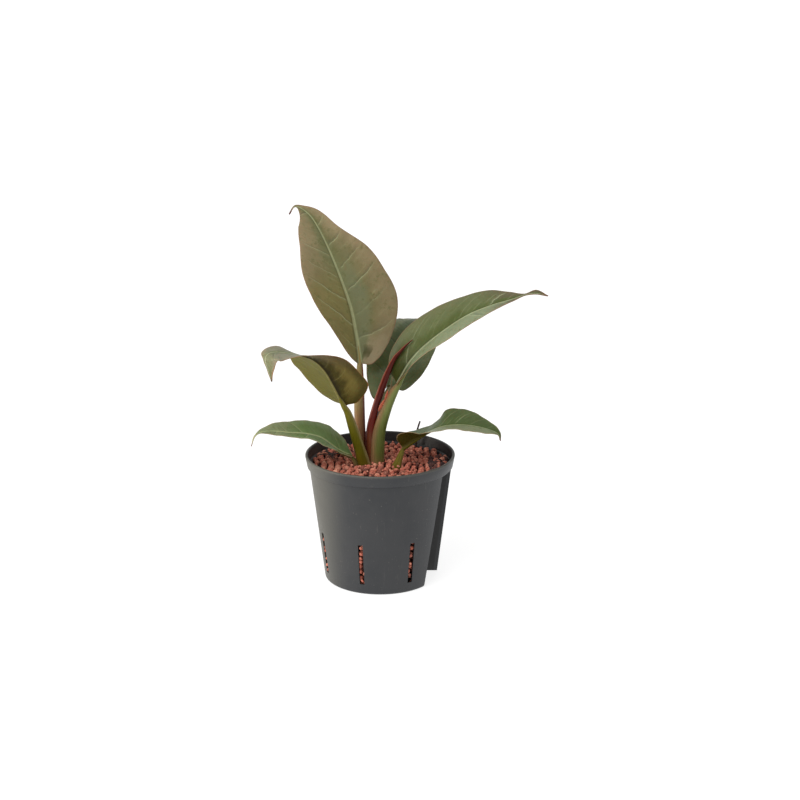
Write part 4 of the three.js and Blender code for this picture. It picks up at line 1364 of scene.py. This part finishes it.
    def core(self, material: bpy.types.Material) -> bpy.types.Object:
        """The solid heart of the filling, which keeps clear of the wall and the recess; it holds no tone, so
        it takes the clay's darkest colour as painted shade.
        """
        pot = self.pot
        heights = np.linspace(pot.floor + self.core_foot, self.level - self.core_drop, self.core_rows)
        angle = np.linspace(0, 360, self.core_sides, endpoint=False)
        radii = np.arange(0, self.reach + self.radius_step, self.radius_step)
        z, azimuth = np.meshgrid(heights, angle, indexing="ij")
        x, y = polar(radii[None, None, :], azimuth[..., None])
        free = self.free(x, y, np.broadcast_to(z[..., None], x.shape), self.core_gap)
        radius = radii[np.maximum(np.argmin(free, axis=-1) - 1, 1)]
        radius = radius + self.core_bump * np.sin(z * 1.3 + azimuth / 5) * np.cos(azimuth / 4)
        grid = np.stack([*polar(radius, azimuth), z], -1).reshape(-1, 3)
        places = np.vstack([grid, [0, 0, heights[0]], [0, 0, heights[-1]]])
        return add_piece("shaded_clay_core", places, lathe_faces(len(heights), self.core_sides), material)

    def build(self) -> list[bpy.types.Object]:
        """Makes the core and all loose granules."""
        clay = ClayFinish().material()
        pieces = [self.core(clay)]
        for layers, ground in ((self.BED, self.sheet), (self.SLOTS, self.strips)):
            pieces += [self.strew(layer, ground(layer), clay) for layer in layers]
        return [keep(piece, "clay", "clay_granules") for piece in pieces]


@dataclass
class DryRoots:
    """Dry root strands that lie on the granules at the left."""

    knot: Point = (-43.0, 15.0, 106.8)
    radius: float = 0.65
    dip: float = 0.6
    # Heading in degrees, reach either way, bow, hump and thickness
    runs: Sequence[tuple[float, float, float, float, float]] = (
        (15, 11, 3, 0.8, 1.0), (62, 9, -3, 1.6, 1.0), (105, 12, 2, 0.4, 1.0), (148, 10, -4, 2.2, 1.0),
        (35, 12, 5, 1.2, 0.5), (80, 10, -6, 1.0, 0.45), (125, 12, 5, 1.5, 0.5), (170, 11, -2, 0.8, 0.5),
    )
    points: int = 25
    sides: int = 8

    def build(self) -> bpy.types.Object:
        """Makes the strands along their lines."""
        places, edges, girth = [], [], []
        t = np.linspace(-1, 1, self.points)
        for heading, reach, bow, hump, thickness in self.runs:
            dx, dy = polar(1.0, heading)
            aside = bow * t**2 + 0.5 * np.sin(6 * t + heading)
            line = np.stack([
                self.knot[0] + dx * reach * t - dy * aside,
                self.knot[1] + dy * reach * t + dx * aside,
                self.knot[2] + 3 * hump * (t**2 - t**4) - self.dip * t**2,
            ], -1)
            first = len(places)
            places.extend(line.tolist())
            edges += [(first + k, first + k + 1) for k in range(self.points - 1)]
            swell = (1 - 0.55 * np.abs(t)) * (1 + 0.2 * np.sin(9 * t + heading))
            girth.extend((self.radius * thickness * swell).tolist())
        piece = helper("root_strands", places, [], edges)
        store(piece.data, "girth", np.array(girth, np.float32) * MM)
        recipe = Recipe("root_strands", {"Sides": self.sides})
        line = recipe.node("GeometryNodeMeshToCurve", inputs={"Mesh": recipe.given("Geometry")})
        wide = recipe.node("GeometryNodeInputNamedAttribute", {"data_type": "FLOAT"}, {"Name": "girth"})
        ring = recipe.node("GeometryNodeCurvePrimitiveCircle",
                           inputs={"Resolution": recipe.given("Sides"), "Radius": 1.0})
        tube = recipe.node("GeometryNodeCurveToMesh", inputs={
            "Curve": line, "Profile Curve": ring, "Scale": wide, "Fill Caps": True,
        })
        recipe.end(tube, DRY.material())
        return keep(recipe.grow(piece), "dry_brown", "dry_roots")


@dataclass
class MossTuft:
    """A small tuft of moss on the granules beside the recess panel."""

    place: Point = (49.0, -12.0, 104.2)
    spread: Point = (2.6, 3.0, 2.0)
    stalks: int = 150
    length: float = 1.6
    width: float = 0.35
    seed: int = 5

    def build(self) -> bpy.types.Object:
        """Makes the tuft of short pointed leaflets."""
        random = np.random.default_rng(self.seed)
        places, faces = [], []
        for _ in range(self.stalks):
            way = unit(random.normal(size=3) + [0, 0, 0.8])
            root = np.array(self.place) + way * np.array(self.spread) * random.uniform(0.3, 0.8)
            side = unit(np.cross(way, random.normal(size=3)))
            other = np.cross(way, side)
            first = len(places)
            for turn in np.radians([0, 120, 240]):
                places.append(root + self.width * (math.cos(turn) * side + math.sin(turn) * other))
            places.append(root + way * self.length * random.uniform(0.6, 1.2))
            faces += [[first + k for k in face] for face in ([2, 1, 0], [0, 1, 3], [1, 2, 3], [2, 0, 3])]
        return keep(add_piece("moss_tuft", np.array(places), faces, MOSS.material()), "leaf_green")


# The stage


@dataclass
class Stage:
    """The pale floor, the soft studio lights and the camera at the photograph's viewing angle."""

    floor_reach: float = 8.0
    floor_tone: float = 0.28
    floor_glow: float = 0.8
    camera_place: Point = (0.0173, -1.496, 0.604)
    camera_pitch: float = 16.5
    lens: float = 81.54
    sensor: float = 36.0
    world: float = 0.68
    sun_power: float = 1.7
    sun_angle: float = 40.0
    sun_turn: float = -122.0  # azimuth it shines from
    sun_height: float = 52.0
    side_place: Point = (-1.3, -0.35, 0.14)
    side_power: float = 13.0
    side_size: float = 0.7
    side_colour: Point = (1.0, 0.93, 0.82)

    def floor(self) -> None:
        """Lays the floor."""
        reach = self.floor_reach
        mesh = bpy.data.meshes.new("floor")
        corners = [(-reach, -reach, 0), (reach, -reach, 0), (reach, reach, 0), (-reach, reach, 0)]
        mesh.from_pydata(corners, [], [[0, 1, 2, 3]])
        shade = Shade("studio_floor")
        shade.dress({
            "Base Color": (*(self.floor_tone,) * 3, 1.0), "Roughness": 0.8,
            "Emission Color": (1.0, 1.0, 1.0, 1.0), "Emission Strength": self.floor_glow,
        })
        mesh.materials.append(shade.material)
        floor = link("floor", mesh)

    def side_light(self) -> None:
        """Adds a warm, low light from the left."""
        light = bpy.data.lights.new("side_light", "AREA")
        light.energy, light.size, light.color = self.side_power, self.side_size, self.side_colour
        lamp = link("side_light", light)
        lamp.location = self.side_place
        lamp.rotation_euler = (-Vector(self.side_place)).to_track_quat("-Z", "Y").to_euler()

    def sun(self) -> None:
        """Adds the main soft light, from the upper left front."""
        light = bpy.data.lights.new("soft_sun", "SUN")
        light.energy = self.sun_power
        light.angle = math.radians(self.sun_angle)
        turn = math.radians(self.sun_turn + 90)
        link("soft_sun", light).rotation_euler = (math.radians(90 - self.sun_height), 0, turn)

    def build(self) -> None:
        """Sets up floor, world, light and camera."""
        self.floor()
        self.sun()
        self.side_light()
        world = bpy.data.worlds.new("studio")
        world.use_nodes = True
        sky = world.node_tree.nodes["Background"]
        sky.inputs["Color"].default_value = (1, 1, 1, 1)
        sky.inputs["Strength"].default_value = self.world
        bpy.context.scene.world = world
        bpy.context.scene.view_settings.view_transform = "Standard"
        lens = bpy.data.cameras.new("camera")
        lens.lens = self.lens
        lens.sensor_width = self.sensor
        camera = link("camera", lens)
        camera.location = self.camera_place
        camera.rotation_euler = (math.radians(90 - self.camera_pitch), 0, 0)
        bpy.context.scene.camera = camera


# The plant

# The rows of each blade, as in its solid: midrib point, upper normal, and for the left and the right half
# how far the margin sweeps back, the half's width and its fold in degrees.

TALL_ROWS: Sequence[Row] = (
    ((-17, 14, 189), (0.12, -0.95, 0.28), (0, 1.5, 20), (0, 1.5, 0)),
    ((-18, 16, 198.5), (0.12, -0.95, 0.28), (2, 9.5, 35), (10, 11.5, 5)),
    ((-20.5, 19, 214.5), (0.12, -0.95, 0.28), (2, 18.5, 35), (8, 29, 8)),
    ((-25, 24, 236.5), (0.12, -0.95, 0.28), (0, 29.5, 32), (2, 41, 10)),
    ((-32, 30, 256.5), (0.12, -0.93, 0.3), (0, 33, 28), (0, 38, 12)),
    ((-40, 36, 276), (0.12, -0.92, 0.32), (0, 31.5, 24), (0, 31.5, 14)),
    ((-49.5, 42, 296), (0.1, -0.9, 0.34), (0, 23, 20), (0, 16.5, 20)),
    ((-59, 46, 311.5), (0.08, -0.9, 0.34), (0, 15, 20), (0, 9, 25)),
    ((-68, 48, 319), (0.05, -0.9, 0.34), (2, 5.4, 20), (0, 2.8, 25)),
    ((-73.5, 48, 320.5), (0, -0.9, 0.34), (1.5, 1, 20), (0, 0.9, 25)),
    ((-78, 44, 314.5), (-0.1, -0.9, 0.3), (0, 0.5, 20), (0, 0.5, 20)),
)

LEFT_ROWS: Sequence[Row] = (
    ((-29.5, -14, 160.5), (0.45, 0.75, 0.49), (0, 1.5, 10), (0, 1.5, 20)),
    ((-33.5, -17, 168.5), (0.45, 0.75, 0.49), (7, 14.5, 7.5), (6, 15, 15)),
    ((-39.5, -21, 182), (0.45, 0.75, 0.49), (6, 33, 6), (4, 30.5, 15)),
    ((-46, -26, 195), (0.42, 0.7, 0.55), (5.2, 29.8, 9.8), (0, 39.5, 15)),
    ((-54.5, -32, 205.5), (0.28, 0.5, 0.75), (0, 28, 4), (0, 37, 14)),
    ((-64.5, -37.5, 211), (0.1, 0.15, 0.95), (0, 18.5, 8.5), (-3, 21, -3)),
    ((-84, -42, 215), (-0.1, -0.3, 0.95), (5, 15, 3), (-3, 9.5, 2)),
    ((-89.5, -44, 215), (-0.2, -0.45, 0.87), (3, 18, 8), (-2, 8, -4)),
    ((-93, -46, 213.5), (-0.35, -0.65, 0.65), (-4, 15, 11), (-1, 7.5, -10)),
    ((-94.5, -47.5, 209.5), (-0.45, -0.8, 0.35), (-5, 10.5, 10), (0, 3.5, -20)),
    ((-92.5, -48, 201.5), (-0.5, -0.85, 0.1), (-4, 4, -1), (0, 1.5, -20)),
    ((-89.5, -46.5, 190.5), (-0.5, -0.85, 0), (0, 0.5, 0), (0, 0.5, 0)),
)

RIGHT_ROWS: Sequence[Row] = (
    ((14.5, -4, 176.5), (-0.5, -0.3, 0.8), (0, 1.5, 30), (0, 1.5, 30)),
    ((18.5, -5, 183.5), (-0.5, -0.3, 0.8), (4, 12.5, 42), (6, 4, 25)),
    ((26, -6, 197), (-0.5, -0.3, 0.8), (3, 22.5, 36), (6, 8, 15)),
    ((37.5, -8, 210.5), (-0.45, -0.3, 0.84), (0, 28.5, 28), (2, 14.5, 12)),
    ((56.5, -11, 227), (-0.38, -0.3, 0.84), (0, 27.5, 22), (0, 20, 10)),
    ((75, -14, 240), (-0.3, -0.3, 0.84), (0, 23, 18), (0, 18.5, 10)),
    ((94.5, -17, 249), (-0.25, -0.3, 0.84), (0, 19, 14), (0, 11.5, 10)),
    ((111, -19, 254.5), (-0.2, -0.3, 0.84), (0, 10, 10), (0, 4, 10)),
    ((121.5, -20, 258.5), (-0.1, -0.3, 0.84), (0, 1.5, 10), (0, 1.5, 10)),
    ((131, -21, 260), (0, -0.3, 0.84), (0, 4, 20), (0, 3, 20)),
    ((141, -22, 258), (0, -0.3, 0.84), (0, 0.5, 10), (0, 0.5, 10)),
)

BACK_ROWS: Sequence[Row] = (
    ((9, 22, 167.5), (-0.1, -0.85, 0.45), (0, 1.5, 10), (0, 1.5, 10)),
    ((10.5, 25, 174.5), (-0.1, -0.85, 0.45), (22, 11.5, 8), (10, 13, 10)),
    ((13, 31, 182.5), (-0.1, -0.85, 0.5), (15, 21.5, 8), (5, 25, 10)),
    ((17.5, 45, 195), (-0.1, -0.8, 0.55), (5, 27, 6), (1, 31, 10)),
    ((21.5, 60, 204.5), (-0.05, -0.65, 0.75), (0, 23, 3), (0, 31, 8)),
    ((27.5, 76, 209), (0, -0.4, 0.9), (0, 17.5, 2), (0, 26, 0)),
    ((33.5, 92, 209), (0.05, -0.1, 0.95), (0, 13, 0), (0, 17, 0)),
    ((39, 106, 206), (0.1, 0.2, 0.95), (0, 6, 0), (0, 7, 0)),
    ((45, 119, 199.5), (0.1, 0.4, 0.9), (0, 0.5, 0), (0, 0.5, 0)),
)

LOW_LEFT_ROWS: Sequence[Row] = (
    ((-24, -4, 111.5), (0.3, -0.35, 0.88), (0, 1.5, 10), (0, 1.5, 20)),
    ((-33.5, -9, 117.5), (0.3, -0.35, 0.88), (2, 3, 10), (2, 14.5, 25)),
    ((-40.5, -14, 124.5), (0.25, -0.35, 0.88), (0, 6.5, 5), (0, 17.5, 22)),
    ((-50, -20, 133.5), (0.2, -0.35, 0.9), (0, 10, 0), (0, 16, 20)),
    ((-62.5, -26, 139), (0.05, -0.35, 0.92), (0, 7.5, 0), (0, 14.5, 18)),
    ((-76, -31, 141.5), (-0.05, -0.35, 0.92), (0, 5, -20), (0, 12.5, 18)),
    ((-89, -35, 144), (-0.15, -0.35, 0.92), (0, 4, -25), (0, 9, 15)),
    ((-100, -38, 144), (-0.4, -0.35, 0.85), (0, 2.5, 0), (0, 4, 10)),
    ((-105.5, -39, 140.5), (-0.7, -0.35, 0.6), (0, 1.2, 0), (0, 1.2, 0)),
    ((-108.5, -40, 132), (-0.9, -0.35, 0.3), (0, 0.5, 0), (0, 0.5, 0)),
)

LOW_RIGHT_ROWS: Sequence[Row] = (
    ((19.5, -8, 120.5), (-0.4, 0.05, 0.9), (0, 1.5, 10), (0, 1.5, 60)),
    ((24, -8, 123.5), (-0.4, 0.05, 0.9), (5.5, 12, 34), (4, 13.5, 56)),
    ((30, -8, 128), (-0.4, 0, 0.9), (4, 18, 17), (4.5, 17, 54)),
    ((37.5, -8, 133), (-0.3, -0.2, 0.9), (0, 20, -15), (0, 17.5, 34)),
    ((48, -9.5, 138.5), (-0.18, -0.33, 0.9), (0, 18.5, -15), (0, 19, 30)),
    ((56, -11, 141), (-0.08, -0.35, 0.9), (0, 21, 2), (0, 18, 27)),
    ((67, -12.5, 142.5), (0.05, -0.35, 0.9), (0, 20, 7), (0, 16.5, 25)),
    ((80, -14, 142), (0.15, -0.35, 0.9), (0, 16, 7), (0, 14, 16)),
    ((93, -16, 139.5), (0.3, -0.35, 0.9), (0, 9.5, 6), (0, 8, 9)),
    ((101.5, -17, 135.5), (0.5, -0.35, 0.75), (0, 3.5, 15), (0, 2.5, 10)),
    ((103.5, -17.5, 129.5), (0.7, -0.35, 0.5), (0, 0.5, 10), (0, 0.5, 10)),
)


@dataclass
class Plant:
    """All leaves, stalks, the new leaf and the bract."""

    leaves: dict[str, Leaf] = field(default_factory=dict)

    def unfold(self) -> None:
        """Sets out the six leaves, from the rows that drive their solids."""
        self.leaves["tall"] = Leaf(
            "tall", "leaf_olive", TALL_ROWS, (-12, -14),
            LeafFinish(
                blade=(112, 106, 70), middle=(110, 112, 76), outer=(130, 116, 84),
                vein=(158, 160, 120), edge=(140, 92, 72), tip=(84, 40, 32),
                under=(104, 94, 48), under_vein=(140, 138, 88),
                zones=(
                    Zone((120, 112, 68), along=(0.0, 0.5), half=Half.LEFT, share=0.8),
                    # painted sheen on the lower right half near the midrib
                    Zone((113, 116, 85), along=(0.0, 0.5), across=(0.08, 0.4), half=Half.RIGHT, share=0.75,
                         soft=0.12),
                    Zone((127, 116, 85), along=(-0.1, 0.55), across=(0.55, 2.0), half=Half.RIGHT, share=0.8,
                         soft=0.2),
                    Zone((92, 90, 52), along=(0.55, 0.85), across=(0.1, 0.6), half=Half.RIGHT, share=0.6),
                    Zone((152, 138, 108), along=(0.6, 0.95), across=(0.25, 2.0), share=0.6, soft=0.25),
                    Zone((156, 142, 112), along=(-0.1, 0.14), across=(0.4, 2.0), half=Half.RIGHT, share=0.7,
                         soft=0.06),
                    Zone((78, 76, 44), along=(0.04, 0.09), across=(0.25, 0.6), half=Half.RIGHT, share=0.9,
                         soft=0.03),
                ),
            ),
            vein_spacing=21.0, vein_lean=(1.2, 0.5), rib_half=(0.4, 1.7), seed=4,
        )
        self.leaves["left"] = Leaf(
            "left", "leaf_mustard", LEFT_ROWS, (0, -10),
            LeafFinish(
                blade=(116, 118, 82), middle=(124, 128, 96), outer=(132, 122, 96),
                vein=(168, 170, 138), edge=(164, 104, 62), tip=(80, 60, 44),
                under=(103, 99, 46), under_vein=(146, 138, 84),
                zones=(
                    Zone((67, 60, 0), half=Half.LEFT, face=Face.UNDER),
                    Zone((47, 41, 0), across=(-1.0, 0.14), half=Half.LEFT, face=Face.UNDER, share=0.65,
                         soft=0.08),
                    Zone((120, 106, 56), along=(0.1, 0.42), across=(0.4, 0.75), half=Half.LEFT,
                         face=Face.UNDER, share=0.55, soft=0.15),
                    Zone((118, 100, 74), along=(0.42, 0.75), across=(0.35, 2.0), half=Half.LEFT,
                         face=Face.UNDER, share=0.7, soft=0.15),
                    # painted highlight where the blade bends over towards its tip
                    Zone((150, 146, 126), along=(0.6, 0.8), across=(0.2, 2.0), share=0.7),
                ),
            ),
            vein_spacing=16.0, seed=7,
        )
        self.leaves["right"] = Leaf(
            "right", "leaf_olive", RIGHT_ROWS, (-10, -8),
            LeafFinish(
                blade=(96, 104, 68), middle=(80, 90, 48), outer=(102, 106, 74),
                vein=(164, 170, 134), edge=(166, 118, 96), tip=(124, 86, 66),
                under=(104, 98, 46), under_vein=(140, 140, 90),
                zones=(
                    Zone((61, 65, 30), along=(-1.0, 0.18), share=0.9),
                    # painted sheen on the right half, which is seen at a grazing angle
                    Zone((140, 150, 117), along=(0.12, 0.8), half=Half.RIGHT, share=0.75),
                    # painted highlight on the left half near the base
                    Zone((116, 122, 98), along=(0.06, 0.2), across=(0.75, 2.0), half=Half.LEFT, share=0.5),
                    Zone((98, 85, 68), along=(0.72, 2.0), across=(0.3, 2.0), share=0.7),
                ),
            ),
            vein_spacing=30.0, vein_lean=(1.6, 1.0), wave=0.15, seed=11,
        )
        self.leaves["back"] = Leaf(
            "back", "leaf_dark", BACK_ROWS, (-6, -6),
            LeafFinish(
                blade=(80, 91, 56), middle=(71, 83, 50), outer=(100, 110, 75),
                vein=(104, 112, 84), edge=(110, 90, 72), tip=(62, 46, 38),
                under=(86, 84, 46), under_vein=(120, 120, 78), vein_share=0.35,
                zones=(Zone((113, 119, 85), along=(0.35, 0.8), across=(0.45, 2.0), half=Half.LEFT,
                            share=0.7),),
            ),
            vein_spacing=15.0, seed=3,
        )
        self.leaves["low_left"] = Leaf(
            "low_left", "leaf_green", LOW_LEFT_ROWS, (0, -10),
            LeafFinish(
                blade=(106, 128, 80), middle=(110, 132, 84), outer=(124, 142, 102),
                vein=(168, 176, 128), edge=(196, 168, 140), tip=(96, 44, 34),
                under=(88, 92, 40), under_vein=(130, 132, 84),
                zones=(Zone((132, 138, 104), along=(0.6, 0.97), share=0.8),),
            ),
            vein_spacing=14.0, seed=5,
        )
        self.leaves["low_right"] = Leaf(
            "low_right", "leaf_green", LOW_RIGHT_ROWS, (0, 0),
            LeafFinish(
                blade=(78, 92, 54), middle=(76, 92, 52), outer=(88, 102, 64),
                vein=(150, 156, 116), edge=(186, 154, 122), tip=(100, 34, 28),
                under=(74, 66, 2), under_vein=(94, 86, 22),
                # painted sheen on the right half
                zones=(Zone((140, 146, 112), along=(0.12, 0.9), across=(0.1, 2.0), half=Half.RIGHT,
                            share=0.75),),
            ),
            vein_spacing=14.0, seed=9,
        )

    def stalks(self) -> list[Stalk]:
        """The petioles, the rolled new leaf and the dry stub, from the lines that drive their solids."""
        green = StalkFinish(
            "right", foot=(122, 96, 66), body=(98, 104, 54), top=(117, 125, 72),
            streak=(140, 103, 75), streak_turn=200, streak_width=75, foot_height=110,
        )
        dark = StalkFinish(
            "back", foot=(96, 84, 60), body=(98, 86, 60), top=(88, 84, 50),
            streak=(112, 96, 66), streak_turn=-60,
        )
        olive = StalkFinish(
            "left", foot=(92, 74, 28), body=(98, 93, 22), top=(112, 106, 42),
            streak=(146, 132, 90), streak_turn=-15, streak_width=45, foot_height=112,
        )
        brown = StalkFinish(
            "tall", foot=(104, 65, 40), body=(156, 115, 82), top=(144, 126, 82),
            streak=(112, 40, 36), streak_turn=-12, streak_width=38,
        )
        red = StalkFinish(
            "new_leaf", foot=(108, 64, 42), body=(104, 36, 22), top=(84, 34, 24),
            # a dark red streak on the left, which above the top height is a painted highlight
            streak=(84, 20, 16), streak_turn=190, streak_width=50, high_streak_highlight=(162, 90, 70),
            foot_height=134, roughness=0.3,
        )
        yellow = StalkFinish(
            "low_right", foot=(104, 84, 30), body=(98, 90, 22), top=(98, 88, 24),
            streak=(130, 120, 60), streak_turn=-40, foot_height=106, top_height=118,
        )
        return [
            Stalk("stalk_right", "petiole_right", "stalk_green", (
                (-3, -0.5, 101, 6.5), (-2.5, -0.8, 117, 6.3), (-0.7, -1, 134, 5.8), (5.6, -2, 155, 4.9),
                (11.8, -2.9, 169, 3.8), (16, -3.4, 178, 2.6),
            ), green, leaf=self.leaves["right"]),
            Stalk("stalk_back", "petiole_back", "stalk_green", (
                (-4.5, 9.5, 101, 5), (-3.8, 10.5, 122, 4.6), (-1, 12.5, 140, 4.4), (3.7, 17.2, 156, 3.2),
                (9.5, 23.8, 169, 2.3),
            ), dark, leaf=self.leaves["back"]),
            Stalk("stalk_left", "petiole_left", "stalk_green", (
                (-12.5, -3.6, 101, 5.6), (-17, -5, 117, 5.1), (-23, -9, 138.5, 4.4),
                (-27.2, -12.4, 153, 3.3), (-30.5, -15.4, 162, 2.6),
            ), olive, flat=0.25, leaf=self.leaves["left"]),
            Stalk("stalk_tall", "petiole_tall", "stalk_brown", (
                (-16.5, 9, 101, 4.9), (-17.2, 11, 130.5, 5), (-17.7, 12, 153, 4.9),
                (-17.5, 13.4, 170.5, 4.1), (-17.3, 15.4, 191, 2.7),
            ), brown, leaf=self.leaves["tall"]),
            Stalk("stalk_low_left", "petiole_low_left", "stalk_green", (
                (-19.5, -1, 96, 2.8), (-21, -2, 104, 2.5), (-25.5, -4.2, 112, 1.6),
            ), green, flat=0.1, leaf=self.leaves["low_left"], rings=40),
            Stalk("stalk_low_right", "petiole_low_right", "stalk_green", (
                (12.5, -10, 94, 4.2), (14, -10, 103.5, 4.1), (16.6, -9.5, 110.5, 3), (20.6, -8, 121.5, 1.7),
            ), yellow, flat=0.1, leaf=self.leaves["low_right"], rings=50),
            Stalk("new_leaf", "spear", "spear_red", (
                (-7, 2, 101, 6.2), (-7.4, 1.5, 118, 5.6), (-7.5, 1, 135.5, 4.4), (-3, 0, 156.5, 3.4),
                (3.5, 0, 177, 3), (7.5, 0, 187.5, 2.5), (12.5, 0, 198, 1.9), (17.5, 0, 204, 1.4),
                (22.5, 0, 209.5, 0.9), (28, 0, 214.5, 0.4),
            ), red, flat=0, scroll=0.14, rings=140),
            Stalk("dry_stub", "dry_stalk", "dry_brown", (
                (30, 47, 95, 1), (31.5, 46.5, 106, 1), (32.6, 46, 118.5, 0.9), (35.1, 46, 127.5, 0.6),
            ), DRY, flat=0, sides=14, rings=40, ripple=0.15),
        ]

    def build(self) -> None:
        """Builds every part of the plant."""
        self.unfold()
        for part in (*self.leaves.values(), *self.stalks(), Sheath()):
            part.build()


def main() -> None:
    """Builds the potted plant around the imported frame."""
    logging.basicConfig(level=logging.INFO, format="%(message)s")
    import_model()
    Stage().build()
    pot = Pot()
    pot.build()
    Granules(pot).build()
    StemBase().build()
    DryRoots().build()
    MossTuft().build()
    Plant().build()
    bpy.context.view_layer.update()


if __name__ == "__main__":
    main()
